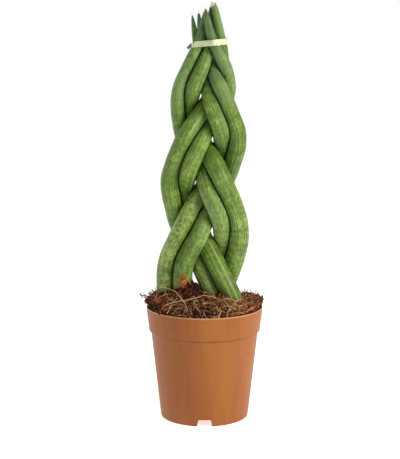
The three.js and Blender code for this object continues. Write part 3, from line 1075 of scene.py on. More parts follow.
@dataclass
class NurseryPot:
    """The moulded pot: lip, band, stepped ledge, tapered wall, notched foot ring and drained floor.

    Its sizes are in millimetres. crease is the angle in degrees past which its edges show as sharp, and
    around is how many points it has round its axis.
    """

    height: float = 135.0
    rim_radius: float = 70.0
    band_foot: float = 107.0
    band_foot_radius: float = 67.0
    shoulder: float = 102.5
    shoulder_radius: float = 64.4
    foot_radius: float = 53.1
    foot_wall: float = 2.6
    wall: float = 1.5
    floor_top: float = 10.2
    floor_underside: float = 8.4
    notches: int = 4
    notch_foot: float = 18.6
    notch_top: float = 15.4
    drains: int = 8
    drain_radius: float = 5.0
    drain_ring: float = 33.0
    drain_sides: int = 32
    crease: float = 28.0
    around: int = 256

    def build(self, plastic: bpy.types.Material) -> bpy.types.Object:
        """Makes the pot.

        Args:
            plastic: Its finish.

        Returns:
            The piece.
        """
        shell = self._turned(self._profile()).piece("pot_shell", plastic, "pot", self.crease)
        cutters = [self._notch(k) for k in range(self.notches)] + [self._drain(k) for k in range(self.drains)]
        for cutter in cutters:
            cut = shell.modifiers.new("cut", "BOOLEAN")
            cut.operation = "DIFFERENCE"
            cut.solver = "EXACT"
            cut.object = cutter
            self._apply(shell)
            bpy.data.objects.remove(cutter)
        shell.data.polygons.foreach_set("use_smooth", [True] * len(shell.data.polygons))
        shell.data.set_sharp_from_angle(angle=math.radians(self.crease))
        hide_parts("pot")
        return shell

    def _profile(self) -> list[Span]:
        """Draws half of the pot's section.

        Returns:
            The outline as (radius, height), from the underside out, up, over the lip and in again.
        """
        taper = (self.shoulder_radius - self.foot_radius) / self.shoulder
        foot_inside = self.foot_radius - self.foot_wall
        lip = self.rim_radius - self.wall
        outside = [
            (self.foot_radius - 0.9, 0.0),
            (self.foot_radius - 0.3, 0.25),
            (self.foot_radius, 0.9),
            (self.foot_radius + taper * 30, 30.0),
            (self.foot_radius + taper * 66, 66.0),
            (self.shoulder_radius - 0.3, self.shoulder - 2.4),
            (self.shoulder_radius - 0.05, self.shoulder),
            (self.shoulder_radius + 0.35, self.shoulder + 2.2),
            (self.shoulder_radius + 1.0, self.shoulder + 3.3),
            (self.band_foot_radius - 0.7, self.band_foot - 0.75),
            (self.band_foot_radius - 0.15, self.band_foot - 0.5),
            (self.band_foot_radius, self.band_foot),
            (self.band_foot_radius + 0.15, self.band_foot + 2),
            (self.rim_radius - 0.45, self.height - 7),
            (self.rim_radius, self.height - 1.6),
            (self.rim_radius, self.height - 0.8),
            (self.rim_radius - 0.35, self.height - 0.2),
            (self.rim_radius - 0.75, self.height),
        ]
        inside = [
            (lip + 0.15, self.height - 0.25),
            (lip - 0.2, self.height - 1),
            (self.band_foot_radius - self.wall, self.band_foot),
            (self.shoulder_radius - self.wall, self.shoulder),
            (self.foot_radius + taper * self.floor_top - self.wall, self.floor_top),
        ]
        underside = [
            (foot_inside + 0.4, self.floor_underside),
            (foot_inside, self.floor_underside - 0.6),
            (foot_inside, 0.4),
            (foot_inside + 0.5, 0.0),
        ]
        middle = [(30.0, self.floor_top), (12.0, self.floor_top)]
        below = [(12.0, self.floor_underside), (30.0, self.floor_underside)]
        return below + underside + outside + inside + middle

    def _turned(self, profile: list[Span]) -> Surface:
        """Turns an outline about the pot's axis.

        Args:
            profile: The outline as (radius, height).

        Returns:
            The turned surface, whose two ends are closed with flat discs.
        """
        turn = full_turn(self.around)
        outline = np.array(profile) * MM
        points = np.stack(
            [
                outline[:, 0, None] * np.cos(turn)[None, :],
                outline[:, 0, None] * np.sin(turn)[None, :],
                np.broadcast_to(outline[:, 1, None], (len(outline), self.around)),
            ],
            axis=2,
        ).reshape(-1, 3)
        return Surface(points, tube_faces(len(outline), self.around))

    @staticmethod
    def _cutter(name: str, outline: list[Span], near: float, far: float) -> bpy.types.Object:
        """Makes a prism that a cut takes out.

        Args:
            name: The cutter's name.
            outline: Its outline as (across, height), turning from across towards height.
            near: How far from the axis it starts.
            far: How far it ends.

        Returns:
            The cutter, along +Y.
        """
        points = [(x * MM, reach * MM, z * MM) for reach in (far, near) for x, z in outline]
        mesh = bpy.data.meshes.new(name)
        mesh.from_pydata(points, [], tube_faces(2, len(outline)))
        item = bpy.data.objects.new(name, mesh)
        bpy.context.scene.collection.objects.link(item)
        return item

    def _notch(self, number: int) -> bpy.types.Object:
        """Makes what cuts one notch into the foot ring.

        Args:
            number: The notch's number, from the front.

        Returns:
            The cutter, a little wider at the foot and rounded at its upper corners.
        """
        top, half_foot, half_top = self.floor_underside - 0.05, self.notch_foot / 2, self.notch_top / 2
        right = [(half_foot, -1.0), (half_top, top - 1.4), (half_top - 0.4, top - 0.4), (half_top - 1.4, top)]
        left = [(-x, z) for x, z in reversed(right)]
        outline = left[-1:] + right + left[:-1]
        cutter = self._cutter("notch", outline, self.foot_radius - 12, self.foot_radius + 3)
        turn = math.pi + number * 2 * math.pi / self.notches
        cutter.data.transform(Euler((0, 0, turn)).to_matrix().to_4x4())
        return cutter

    def _drain(self, number: int) -> bpy.types.Object:
        """Makes what cuts one drainage hole into the floor.

        Args:
            number: The hole's number round the ring of holes.

        Returns:
            The cutter.
        """
        radius, reach = self.drain_radius, self.drain_ring * MM
        outline = [(radius * math.cos(turn), radius * math.sin(turn)) for turn in full_turn(self.drain_sides)]
        cutter = self._cutter("drain", outline, self.floor_underside - 3.4, self.floor_top + 3.8)
        cutter.data.transform(Euler((math.pi / 2, 0, 0)).to_matrix().to_4x4())
        angle = (number + 0.5) / self.drains * 2 * math.pi
        for vert in cutter.data.vertices:
            vert.co += Vector((reach * math.cos(angle), reach * math.sin(angle), 0))
        return cutter

    @staticmethod
    def _apply(piece: bpy.types.Object) -> None:
        """Puts a piece's modifiers into its mesh.

        Args:
            piece: The piece.
        """
        shown = piece.evaluated_get(bpy.context.evaluated_depsgraph_get())
        mesh = bpy.data.meshes.new_from_object(shown)
        piece.modifiers.clear()
        old = piece.data
        piece.data = mesh
        bpy.data.meshes.remove(old)


# The mix


@dataclass(frozen=True)
class ThreadKind:
    """The ranges that a kind of lying thread is drawn from, in millimetres apart from its tone.

    Attributes:
        length: How long it is.
        arch: How high its middle stands off the heap.
        radius: How thick it is.
        tone: The tone of its colour.
        past: How far past the pot's throat it may reach.
    """

    length: Span
    arch: Span
    radius: Span
    tone: Span
    past: float = 1.0


@dataclass(frozen=True)
class Strand:
    """One long fibre: its radius and the points that it passes through, in millimetres, and its tone."""

    radius: float
    tone: float
    knots: tuple[Place, ...]


SIDE_THREAD = ThreadKind(length=(5, 13), arch=(1.5, 4.5), radius=(0.14, 0.3), tone=(0.3, 0.9), past=4)
GOLDEN_THREAD = ThreadKind(length=(8, 26), arch=(0.5, 4), radius=(0.16, 0.3), tone=(0.45, 1))
PALE_ARC = (
    (-54, -20, 161), (-49, -21, 162), (-42, -23, 160), (-34, -31, 158), (-26, -46, 152), (-21, -58, 146),
    (-20, -64, 140),
)
TAN_ARC = (
    (-55, -38, 138), (-43, -46, 147), (-27, -48, 151), (-11, -42, 153), (0, -32, 154), (13, -38, 152),
    (27, -52, 145),
)
LEFT_SCRAP = (
    (-64, -12, 138), (-70, -7, 144), (-72.5, -5, 149), (-75, -3, 147), (-77.5, -2, 150), (-78, -2, 147),
)
RIGHT_WISP = ((66, 0, 139), (71, 2, 143), (75, 3, 146.5), (78, 3, 150))
LONG_STRANDS = (
    Strand(0.26, 1.0, PALE_ARC),
    Strand(0.36, 0.9, TAN_ARC),
    Strand(0.75, 0.0, LEFT_SCRAP),
    Strand(0.25, 1.0, RIGHT_WISP),
)


@dataclass
class CoirHeap:
    """The heaped mix: its bed, the chips and crumbs on it, and the threads of coir.

    Attributes:
        edge: The height of the heap at the rim, in millimetres, as all its sizes are.
        radius: How far from the axis the heap comes down to that.
        crown: How much higher the middle stands.
        steepness: How late the crown falls away towards the rim.
        sides: How much higher the far left and right stand.
        sunk: How much lower the right shoulder lies.
        wave: How far the surface rolls.
        throat: The radius of the bed, which fills the pot's throat.
        depth: How deep the bed is below the rim.
        foot: The radius of the bed's foot.
        clump: Where the dark clump stands.
        clump_height: How high it is.
        clump_spread: How wide it is.
        chip_count: How many chips and crumbs there are.
        short_threads: How many short threads lie all over the heap.
        side_threads: How many more lie at its left and right.
        standing_hairs: How many hairs stand out there.
        golden_threads: How many pale threads tangle at the front right.
        seed: What the scraps are drawn from.
        leaf_feet: Where the leaves stand, each as its place across, its place in depth and its radius.
    """

    edge: float = 134.5
    radius: float = 68.5
    crown: float = 15.0
    steepness: float = 5.0
    sides: float = 6.2
    sunk: float = 7.5
    wave: float = 1.3
    throat: float = 68.0
    depth: float = 124.0
    foot: float = 52.0
    clump: Span = (-18.0, -15.0)
    clump_height: float = 16.0
    clump_spread: float = 16.0
    chip_count: int = 5600
    short_threads: int = 1800
    side_threads: int = 260
    standing_hairs: int = 240
    golden_threads: int = 200
    seed: int = 5
    leaf_feet: list[Place] = field(default_factory=list)

    def height(self, x: Values, y: Values) -> Values:
        """Gives the heap's height above the surface that the pot stands on.

        Args:
            x: Across, in millimetres, one number or many.
            y: In depth, in millimetres.

        Returns:
            The height in millimetres.
        """
        away = np.hypot(x, y)
        reach = np.minimum(1, away / self.radius)
        crown = self.crown * (1 - reach**self.steepness)
        clump = self.clump_height * self.clumped(x, y)
        banked = self.sides * (x / np.maximum(1, away)) ** 2 * eased((reach - 0.4) / 0.5)
        sunk = self.sunk * eased((x - 18) / 24) * (1 - reach**8)
        swell = np.sin(0.23 * x + 1.1) * np.cos(0.19 * y) + 0.6 * np.sin(0.41 * x - 0.37 * y)
        return self.edge + crown + clump + banked - sunk + self.wave * swell * (1 - reach**3)

    def clumped(self, x: Values, y: Values) -> Values:
        """Says how much of the dark clump stands at a place, from 0 to 1."""
        off = (x - self.clump[0]) ** 2 + (y - self.clump[1]) ** 2
        return np.exp(-off / self.clump_spread**2)

    def _crumbled(self, x: float, y: float) -> float:
        """Gives the bed's height with its lumps.

        Args:
            x: Across, in millimetres.
            y: In depth, in millimetres.

        Returns:
            The height in millimetres.
        """
        lumps = noise.fractal(Vector((x * 0.28, y * 0.28, 3.0)), 0.9, 2.2, 4)
        fine = noise.noise(Vector((x * 1.3, y * 1.3, 7.0)))
        return float(self.height(x, y)) - 1.2 + 1.5 * lumps + 0.6 * fine

    def bed(self, finish: bpy.types.Material) -> bpy.types.Object:
        """Makes the mix as one closed body that fills the pot.

        Args:
            finish: Its finish.

        Returns:
            The piece.
        """
        rings, around = 110, 300
        points, tones = [(0.0, 0.0, self._crumbled(0, 0) * MM)], [0.3]
        for ring in range(1, rings + 1):
            radius = self.throat * ring / rings
            for k in range(around):
                turn = 2 * math.pi * (k + 0.5 * (ring % 2)) / around
                x, y = radius * math.cos(turn), radius * math.sin(turn)
                points.append((x * MM, y * MM, self._crumbled(x, y) * MM))
                mottle = 0.35 * noise.noise(Vector((x * 0.5, y * 0.5, 1.0)))
                tones.append((0.12 + mottle) * (1 - 0.7 * self.clumped(x, y)))
        floor = (self.edge - self.depth) * MM
        for turn in full_turn(around):
            points.append((self.foot * math.cos(turn) * MM, self.foot * math.sin(turn) * MM, floor))
        points.append((0.0, 0.0, floor))
        tones += [0.2] * (around + 1)
        faces = fan_faces(0, 1, around)
        faces += turned_round(lattice_faces(rings + 1, around, start=1))
        faces += fan_faces(len(points) - 1, 1 + rings * around, around, turned=True)
        surface = Surface(np.array(points), faces, {"tone": np.array(tones)})
        piece = surface.piece("mix_bed", finish, "soil", crease=80)
        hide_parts("soil")
        return piece

    def _free_place(self, draw: np.random.Generator, reach: float) -> Span:
        """Draws a place on the heap that no leaf stands on.

        Args:
            draw: The random draw.
            reach: How far from the axis it may lie, in millimetres.

        Returns:
            The place in millimetres.
        """
        while True:
            radius, turn = reach * math.sqrt(draw.uniform()), draw.uniform(0, 2 * math.pi)
            x, y = radius * math.cos(turn), radius * math.sin(turn)
            if all(math.hypot(x - fx, y - fy) > fr - 0.5 for fx, fy, fr in self.leaf_feet):
                return x, y

    @staticmethod
    def _side_place(draw: np.random.Generator, arc: float, reach: Span) -> tuple[np.ndarray, float]:
        """Draws a place at the far left or right of the heap, where it shows against the light.

        Args:
            draw: The random draw.
            arc: How far from straight left or right it may turn, in radians.
            reach: How far from the axis it may lie, in millimetres.

        Returns:
            The level unit vector towards the place, and how far out it lies.
        """
        turned = draw.uniform(-arc, arc) + draw.choice([0, math.pi])
        return np.array([math.cos(turned), math.sin(turned), 0.0]), draw.uniform(*reach)

    def chips(self, finish: bpy.types.Material) -> bpy.types.Object:
        """Makes the chips and crumbs, with every sixth at the left or right.

        Args:
            finish: Their finish.

        Returns:
            The piece.
        """
        draw = np.random.default_rng(self.seed)
        ball = bmesh.new()
        bmesh.ops.create_icosphere(ball, subdivisions=1, radius=1.0)
        faces = [tuple(vert.index for vert in face.verts) for face in ball.faces]
        crumb = Surface(np.array([vert.co for vert in ball.verts]), faces)
        ball.free()
        parts = [self._chip(draw, crumb, number % 6 == 0) for number in range(self.chip_count)]
        return joined(parts).piece("mix_chips", finish, "soil", crease=25)

    def _chip(self, draw: np.random.Generator, crumb: Surface, at_side: bool) -> Surface:
        """Makes one chip or crumb.

        Args:
            draw: The random draw.
            crumb: A round crumb of radius 1.
            at_side: Whether it lies at the left or right.

        Returns:
            The chip.
        """
        x, y = self._free_place(draw, self.throat)
        if at_side:
            out, reach = self._side_place(draw, 0.75, (64, 70.6))
            x, y = out[:2] * reach
        size = draw.uniform(0.35, 0.75) + 1.5 * draw.uniform() ** 5
        long, flat = draw.uniform(1.0, 2.8), draw.uniform(0.3, 0.8)
        shape = crumb.points * (1 + draw.uniform(-0.28, 0.28, (len(crumb.points), 1)))
        shape = shape * np.array([size * long, size, size * flat])
        turn = Euler((draw.normal(0, 0.5), draw.normal(0, 0.5), draw.uniform(0, 2 * math.pi))).to_matrix()
        lift = self.height(x, y) + draw.uniform(-1.2, 1.4) * (1.6 if at_side else 1)
        if math.hypot(x, y) > self.throat:
            lift = max(lift, self.edge + 1.4)
        points = (shape @ np.array(turn).T + np.array([x, y, lift])) * MM
        tone = np.clip(draw.beta(0.9, 2.1), 0, 0.92) * (1 - 0.8 * self.clumped(x, y))
        return Surface(points, crumb.faces, {"tone": np.full(len(points), tone)})

    def _lying(
        self, draw: np.random.Generator, place: Sequence[float], length: float, arch: float, past: float = 1.0
    ) -> np.ndarray:
        """Bends a thread over the heap.

        Args:
            draw: The random draw.
            place: Where its middle lies, in millimetres.
            length: How long it is.
            arch: How high its middle stands off the heap.
            past: How far past the pot's throat it may reach.

        Returns:
            Its route in metres.
        """
        heading = draw.uniform(0, 2 * math.pi)
        bend = draw.normal(0, 0.25) * length
        ahead = np.array([math.cos(heading), math.sin(heading)])
        aside = np.array([-ahead[1], ahead[0]])
        knots = []
        for share in np.linspace(-0.5, 0.5, 5):
            flat = np.array(place) + ahead * share * length + aside * bend * (1 - 4 * share**2)
            flat *= min(1.0, (self.throat + past) / max(1e-6, np.hypot(*flat)))
            up = self.height(*flat) + arch * (1 - 4 * share**2) + draw.uniform(-0.5, 0.9)
            knots.append([flat[0], flat[1], up])
        return smooth_route(np.array(knots) * MM, 9)

    def _short_thread(self, draw: np.random.Generator) -> Surface:
        """Draws one of the short threads that lie all over the heap.

        Args:
            draw: The random draw.

        Returns:
            The thread.
        """
        place = self._free_place(draw, self.throat - 2)
        length, arch = draw.uniform(5, 20), draw.uniform(0, 2.8)
        radius = draw.uniform(0.1, 0.27)
        tone = np.clip(draw.beta(0.8, 0.75), 0.05, 1) * (1 - 0.6 * self.clumped(*place))
        route = self._lying(draw, place, length, arch)
        return thread(route, np.full(len(route), radius * MM), 4, tone)

    def _strewn(self, draw: np.random.Generator, place: Sequence[float], kind: ThreadKind) -> Surface:
        """Draws a thread of a kind.

        Args:
            draw: The random draw.
            place: Where its middle lies, in millimetres.
            kind: The ranges that it is drawn from.

        Returns:
            The thread.
        """
        route = self._lying(draw, place, draw.uniform(*kind.length), draw.uniform(*kind.arch), kind.past)
        radii = np.full(len(route), draw.uniform(*kind.radius) * MM)
        return thread(route, radii, 4, draw.uniform(*kind.tone))

    def _standing_hair(self, draw: np.random.Generator) -> Surface:
        """Draws one of the hairs that stand out at the left and right.

        Args:
            draw: The random draw.

        Returns:
            The hair.
        """
        out, reach = self._side_place(draw, 0.8, (61, 68))
        root = out * reach + [0, 0, self.height(*(out[:2] * reach)) - 1]
        aim = out * draw.uniform(0.1, 0.8) + [draw.normal(0, 0.25), draw.normal(0, 0.4), draw.uniform(0.5, 1)]
        length = draw.uniform(4, 11)
        knots = np.array([root, root + aim * length * 0.55, root + (aim + draw.normal(0, 0.2, 3)) * length])
        return thread(smooth_route(knots * MM, 6), np.linspace(0.36, 0.2, 6) * MM, 4, draw.uniform(0.1, 0.8))

    def threads(self, finish: bpy.types.Material) -> bpy.types.Object:
        """Makes the short threads, more of them and standing hairs at the sides, and the golden tangle.

        Args:
            finish: Their finish.

        Returns:
            The piece.
        """
        draw = np.random.default_rng(self.seed + 1)
        parts = [self._short_thread(draw) for _ in range(self.short_threads)]
        for _ in range(self.side_threads):
            out, reach = self._side_place(draw, 0.8, (58, 68))
            parts.append(self._strewn(draw, out[:2] * reach, SIDE_THREAD))
        parts += [self._standing_hair(draw) for _ in range(self.standing_hairs)]
        for _ in range(self.golden_threads):
            place = draw.normal(38, 12), draw.normal(-36, 12)
            parts.append(self._strewn(draw, place, GOLDEN_THREAD))
        return joined(parts).piece("mix_threads", finish, "soil", crease=60)

    @staticmethod
    def long_threads(finish: bpy.types.Material) -> bpy.types.Object:
        """Makes the long fibres that stand out from the heap, and the strands that reach over the rim.

        Args:
            finish: Their finish.

        Returns:
            The piece.
        """
        steps = 48
        taper = np.interp(np.linspace(0, 1, steps), [0, 0.1, 0.85, 1], [0.6, 1, 1, 0.4])
        parts = []
        for strand in LONG_STRANDS:
            route = smooth_route(np.array(strand.knots, float) * MM, steps)
            parts.append(thread(route, strand.radius * taper * MM, 8, strand.tone))
        return joined(parts).piece("long_threads", finish, "soil", crease=60)


@dataclass
class HuskTuft:
    """The torn sheath of an old leaf, which stands as a bright tuft against the second leaf.

    Attributes:
        root: The middle of its foot, in millimetres.
        apex: Where its spikes point.
        spikes: How many it has.
        seed: What they are drawn from.
    """

    STOPS: ClassVar[tuple[tuple[float, Colour], ...]] = (
        (0.0, srgb(58, 28, 14)),
        (0.35, srgb(118, 62, 30)),
        (0.7, srgb(176, 100, 46)),
        (1.0, srgb(214, 152, 92)),
    )
    root: Place = (-24.3, -26.0, 168.0)
    apex: Place = (-27.0, -25.0, 183.0)
    spikes: int = 80
    seed: int = 12

    def build(self, finish: bpy.types.Material) -> bpy.types.Object:
        """Makes the tuft.

        Args:
            finish: Its finish.

        Returns:
            The piece.
        """
        draw = np.random.default_rng(self.seed)
        parts = []
        root, apex = np.array(self.root), np.array(self.apex)
        for _ in range(self.spikes):
            start = root + [draw.normal(0, 2.7), draw.normal(0, 1.4), draw.uniform(-7, 4)]
            end = start + (apex - start) * draw.uniform(0.05, 0.8) + draw.normal(0, 1.9, 3)
            middle = (start + end) / 2 + draw.normal(0, 0.8, 3)
            route = smooth_route(np.array([start, middle, end]) * MM, 8)
            radii = np.linspace(draw.uniform(0.2, 0.5), 0.1, 8) * MM
            parts.append(thread(route, radii, 5, draw.beta(1.2, 1.0)))
        turn = np.linspace(0, 2 * math.pi, 13)
        curl = np.stack([1.5 * np.cos(turn), np.full(13, -5.0), 2.5 + 1.5 * np.sin(turn)], axis=1) + root
        parts.append(thread(curl * MM, np.full(13, 0.6 * MM), 6, 0.9))
        return joined(parts).piece("husk_tuft", finish, "soil", crease=60)


# The tie


@dataclass
class TwistTie:
    """The flat tape pulled tight round the leaves, with its ends twisted into a tail on the left.

    Attributes:
        height: The height of the loop's middle at the plant's axis, in millimetres.
        rise: How much it rises towards the right, as a share of the way.
        width: The tape's width in millimetres.
        gathered: Its width where it is gathered at the tail.
        slack: How far its inside stands off the leaves.
        thickness: How thick it is.
        lap: Where the lapping end starts and stops, in degrees from the right.
        lap_rise: How much higher than the loop the lap lies at its start and its stop, in millimetres.
        shade: How far right of the axis painted shade darkens the tape.
        steps: How many rings of points the loop has.
        rows: How many rows of points lie across the tape.
    """

    height: float = 447.6
    rise: float = 0.09
    width: float = 6.8
    gathered: float = 3.6
    slack: float = 0.75
    thickness: float = 0.4
    lap: Span = (-58.0, 50.0)
    lap_rise: Span = (-0.2, 1.5)
    shade: float = 7.5
    steps: int = 180
    rows: int = 9

    def build(self, lines: Sequence[CentreLine], tape: bpy.types.Material) -> bpy.types.Object:
        """Makes the tie.

        Args:
            lines: The leaves' centre lines.
            tape: The tie's finish.

        Returns:
            The piece.
        """
        surface = joined([self._belt(lines), self._lap(lines), *self._tail(lines)])
        piece = surface.piece("twist_tie", tape, "tie", crease=50)
        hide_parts("tie")
        return piece

    def _touch(self, lines: Sequence[CentreLine], offset: float, direction: np.ndarray) -> np.ndarray:
        """Finds where the belt lies in a direction.

        Args:
            lines: The leaves' centre lines.
            offset: How far above the belt's middle, in metres.
            direction: The unit vector out, level.

        Returns:
            The point of the belt furthest that way.
        """
        best, furthest = -1.0, np.zeros(3)
        for line in lines:
            rise = line.points[:, 2] - (self.height * MM + offset + self.rise * line.points[:, 0])
            i = int(np.argmax(rise > 0))
            share = -rise[i - 1] / (rise[i] - rise[i - 1])
            along = line.points[i] - line.points[i - 1]
            along /= np.linalg.norm(along)
            out = direction - np.array([0, 0, direction.dot(along) / along[2]])
            out /= np.linalg.norm(out)
            reach = line.radii[i - 1] + self.slack * MM
            touch = line.points[i - 1] * (1 - share) + line.points[i] * share
            touch = touch + reach * out - along * reach * out[2] / along[2]
            if touch.dot(direction) > best:
                best, furthest = touch.dot(direction), touch
        return furthest

    @staticmethod
    def _tape(
        points: np.ndarray, faces: list[Face], across: np.ndarray, olive_and_shade: Values, fold_highlight: Values
    ) -> Surface:
        """Puts a stretch of tape together.

        Args:
            points: Its points, in rows.
            faces: Its faces.
            across: How far across the tape each point lies, from 0 to 1.
            olive_and_shade: How much the tape is tinted olive there, which paints shade on the loop.
            fold_highlight: How much painted highlight it has there, where the tape folds.

        Returns:
            The stretch.
        """
        even = np.ones(len(points))
        return Surface(points, faces, {"across": across, "olive_and_shade": olive_and_shade * even, "fold_highlight": fold_highlight * even})

    def _belt(self, lines: Sequence[CentreLine]) -> Surface:
        """Makes the tape's loop.

        Args:
            lines: The leaves' centre lines.

        Returns:
            The loop.
        """
        points, across = self._strip(lines, full_turn(self.steps), 0.0, np.zeros(self.steps))
        faces = lattice_faces(self.steps, 2 * self.rows, closed=True)
        # Painted shade: a band of the loop's front, right of the axis, is tinted olive.
        painted_shade_band = np.clip(1 - np.abs(points[:, 0] / MM - self.shade) / 4, 0, 1) * (points[:, 1] < 0)
        return self._tape(points, faces, across, 0.45 * painted_shade_band, 0.0)

    def _lap(self, lines: Sequence[CentreLine]) -> Surface:
        """Makes the end of the tape that laps over the loop on the right, where the tape folds on a slant and
        carries a painted highlight.

        Args:
            lines: The leaves' centre lines.

        Returns:
            The end.
        """
        steps, count = 60, 2 * self.rows
        angles = np.radians(np.linspace(*self.lap, steps))
        points, across = self._strip(lines, angles, self.thickness + 0.1, np.linspace(*self.lap_rise, steps))
        # Each face starts at its last corner, which splits its quad along the slant
        faces = [(face[-1], *face[:-1]) for face in tube_faces(steps, count)]
        # Painted highlight over the first rings of the lap, where the tape folds.
        fold_highlight = np.repeat(np.clip(1.7 - np.arange(steps) / 6, 0, 1), count)
        return self._tape(points, faces, across, 0.0, fold_highlight)

    def _strip(
        self, lines: Sequence[CentreLine], angles: np.ndarray, lift: float, rise: np.ndarray
    ) -> tuple[np.ndarray, np.ndarray]:
        """Lays a strip of the tape round the leaves.

        Args:
            lines: The leaves' centre lines.
            angles: The directions in which its rings lie.
            lift: How far it stands off the loop's inside, in millimetres.
            rise: How much higher it lies than the loop at each ring, in millimetres.

        Returns:
            Its points, ring by ring, and how far across the tape each one is.
        """
        rows = np.linspace(-0.5, 0.5, self.rows)
        bows = 0.16 * np.cos(2 * math.pi * rows)
        points = []
        for angle, higher in zip(angles, rise):
            direction = np.array([math.cos(angle), math.sin(angle), 0.0])
            gather = eased((-direction[0] - 0.6) / 0.4)
            width = (self.width + (self.gathered - self.width) * gather) * MM
            inner = [self._touch(lines, row * width, direction) + direction * lift * MM for row in rows]
            for row, point in zip(rows, inner):
                point[2] = (self.height + higher) * MM + self.rise * point[0] + row * width
            outer = [point + direction * (self.thickness + bow) * MM for point, bow in zip(inner[::-1], bows)]
            points += inner + outer
        across = np.tile(np.append(rows, rows[::-1]) + 0.5, len(angles))
        return np.array(points), across

    def _tail(self, lines: Sequence[CentreLine]) -> list[Surface]:
        """Makes the two ends of the tape, twisted round each other.

        Args:
            lines: The leaves' centre lines.

        Returns:
            The two ends.
        """
        start = self._touch(lines, 0.0, np.array([-1.0, 0.0, 0.0])) / MM
        steps, length, droop, thick = 26, 7.5, 0.75, 0.5
        heading = np.array([-math.cos(droop), 0.0, -math.sin(droop)])
        side = np.array([0.0, 1.0, 0.0])
        up = np.cross(heading, side)
        ends = []
        for end in range(2):
            points = []
            for share in np.linspace(0, 1, steps):
                turn = 2 * math.pi * (1.1 * share + end / 2)
                swing = side * math.cos(turn) + up * math.sin(turn)
                flat = np.cross(heading, swing)
                middle = start + heading * (length * share - 0.4) + swing * 0.8
                wide = 1.7 * (1 - 0.25 * share)
                corners = [(-wide, -thick), (wide, -thick), (wide, thick), (-wide, thick)]
                points += [middle + flat * a + swing * b for a, b in corners]
            faces = turned_round(tube_faces(steps, 4))
            across = np.tile([0.0, 1.0, 1.0, 0.0], steps)
            ends.append(self._tape(np.array(points) * MM, faces, across, 0.85, 0.0))
        return ends


# The studio


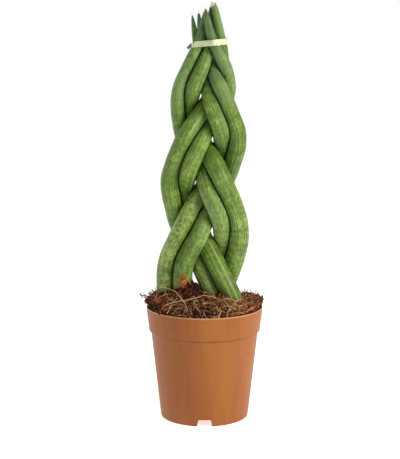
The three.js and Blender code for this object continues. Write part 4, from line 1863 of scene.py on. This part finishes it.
@dataclass
class Studio:
    """The floor, the soft lights and the camera.

    Attributes:
        camera_place: Where the camera stands, in millimetres.
        camera_pitch: How far it looks down, in degrees.
        focal_pixels: Its focal length in pixels of the frame.
        frame_pixels: The frame's longer side in pixels.
        sensor: Its sensor's longer side, in millimetres.
        ambient: How bright the surroundings shine on the plant.
        reach: How far the floor reaches, in metres.
    """

    camera_place: Place = (-5.43, -1400.0, 448.1)
    camera_pitch: float = 8.94
    focal_pixels: float = 1184.7
    frame_pixels: int = 459
    sensor: float = 36.0
    ambient: float = 0.34
    reach: float = 6.0

    def build(self) -> None:
        """Sets up everything round the plant."""
        self._floor()
        self._lights()
        self._camera()

    def _floor(self) -> None:
        """Lays the floor."""
        mesh = bpy.data.meshes.new("floor")
        corners = [(x * self.reach, y * self.reach, 0) for x, y in ((-1, -1), (1, -1), (1, 1), (-1, 1))]
        mesh.from_pydata(corners, [], [(0, 1, 2, 3)])
        mesh.materials.append(PaleFloor().material())
        floor = bpy.data.objects.new("floor", mesh)
        bpy.context.scene.collection.objects.link(floor)

    def _lights(self) -> None:
        """Hangs the soft lights and sets the surrounding light, which the camera itself sees as white."""
        self._panel("key", (1.15, -0.75, 0.8), 0.8, 20, (1.0, 0.94, 0.84))
        self._panel("left_edge", (-1.05, 0.6, 0.5), 0.8, 4.5, (1.0, 1.0, 1.0))
        self._panel("top", (-0.1, -0.3, 1.7), 1.0, 5, (1.0, 1.0, 1.0))
        world = bpy.data.worlds.new("studio")
        bpy.context.scene.world = world
        graph = ShaderGraph(world)
        seen = graph.wire(graph.node("ShaderNodeLightPath"), "Is Camera Ray")
        inputs = {"Color": (1.0, 1.0, 1.0, 1.0), "Strength": self.ambient + (1 - self.ambient) * seen}
        white = graph.wire(graph.node("ShaderNodeBackground", None, inputs))
        graph.node("ShaderNodeOutputWorld", None, {"Surface": white})
        bpy.context.scene.view_settings.view_transform = "Standard"

    @staticmethod
    def _panel(name: str, place: Place, size: float, watts: float, colour: Colour) -> None:
        """Hangs a square light panel that faces the middle of the plant.

        Args:
            name: The light's name.
            place: Where it hangs, in metres.
            size: The length of its side.
            watts: Its power.
            colour: Its colour.
        """
        lamp = bpy.data.lights.new(name, "AREA")
        lamp.shape = "SQUARE"
        lamp.size = size
        lamp.energy = watts
        lamp.color = colour
        item = bpy.data.objects.new(name, lamp)
        item.location = place
        aim = Vector((0, 0, 0.24)) - Vector(place)
        item.rotation_euler = aim.to_track_quat("-Z", "Y").to_euler()
        bpy.context.scene.collection.objects.link(item)

    def _camera(self) -> None:
        """Sets the camera at the photograph's angle."""
        camera = bpy.data.cameras.new("camera")
        camera.sensor_width = self.sensor
        camera.lens = self.focal_pixels / self.frame_pixels * self.sensor
        item = bpy.data.objects.new("camera", camera)
        item.location = [value * MM for value in self.camera_place]
        item.rotation_euler = (math.radians(90 - self.camera_pitch), 0, 0)
        bpy.context.scene.collection.objects.link(item)
        bpy.context.scene.camera = item


LEAVES = (
    Leaf("leaf_a", seed=1, tip_length=6.0, painted_upper_shade=0.4),
    Leaf("leaf_b", seed=2, tip_length=5.0, painted_upper_shade=0.8, painted_upper_shade_from=0.765, mottled=0.5, ridges=25),
    Leaf("leaf_c", seed=3, tip=Tip.CAP, tip_length=3.6, flakes=14, dry_from=0.993, channel=-48, mottled=0.2),
    Leaf("leaf_d", seed=4, tip_length=3.0, channel=-78, mottled=0.15, painted_upper_shade=0.8, painted_upper_shade_from=0.86, ridges=24),
    Leaf("leaf_e", seed=5, tip_length=3.0, painted_upper_shade=1.0),
    Leaf("leaf_f", seed=6, tip=Tip.CAP, tip_length=2.0, flakes=6, dry_from=0.992, mottled=0.3, painted_upper_shade=0.9),
)


def feet(lines: Sequence[CentreLine], level: float) -> list[Place]:
    """Finds where the leaves come out of the mix.

    Args:
        lines: The leaves' centre lines.
        level: The height at which to look, in millimetres.

    Returns:
        Each foot's place across, its place in depth and its radius, in millimetres.
    """
    found = []
    for line in lines:
        i = int(np.argmin(np.abs(line.points[:, 2] - level * MM)))
        found.append((line.points[i, 0] / MM, line.points[i, 1] / MM, line.radii[i] / MM))
    return found


def main() -> None:
    """Builds the plant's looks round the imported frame."""
    logging.basicConfig(level=logging.INFO, format="%(message)s")
    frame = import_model()
    lines = [CentreLine.of_node(frame["nodes"][leaf.node]) for leaf in LEAVES]
    heap = CoirHeap(leaf_feet=feet(lines, 152))
    skin = LeafSkin().material()
    fine = [line.fine(300) for line in lines]
    for leaf, line in zip(LEAVES, fine):
        leaf.build(line, [other for other in fine if other is not line], skin, heap)
    NurseryPot().build(PotPlastic().material())
    mix = CoirMix().material()
    heap.bed(mix)
    heap.chips(mix)
    heap.threads(mix)
    heap.long_threads(mix)
    HuskTuft().build(CoirMix(name="husk", stops=HuskTuft.STOPS).material())
    TwistTie().build(lines, TieTape().material())
    Studio().build()


if __name__ == "__main__":
    main()
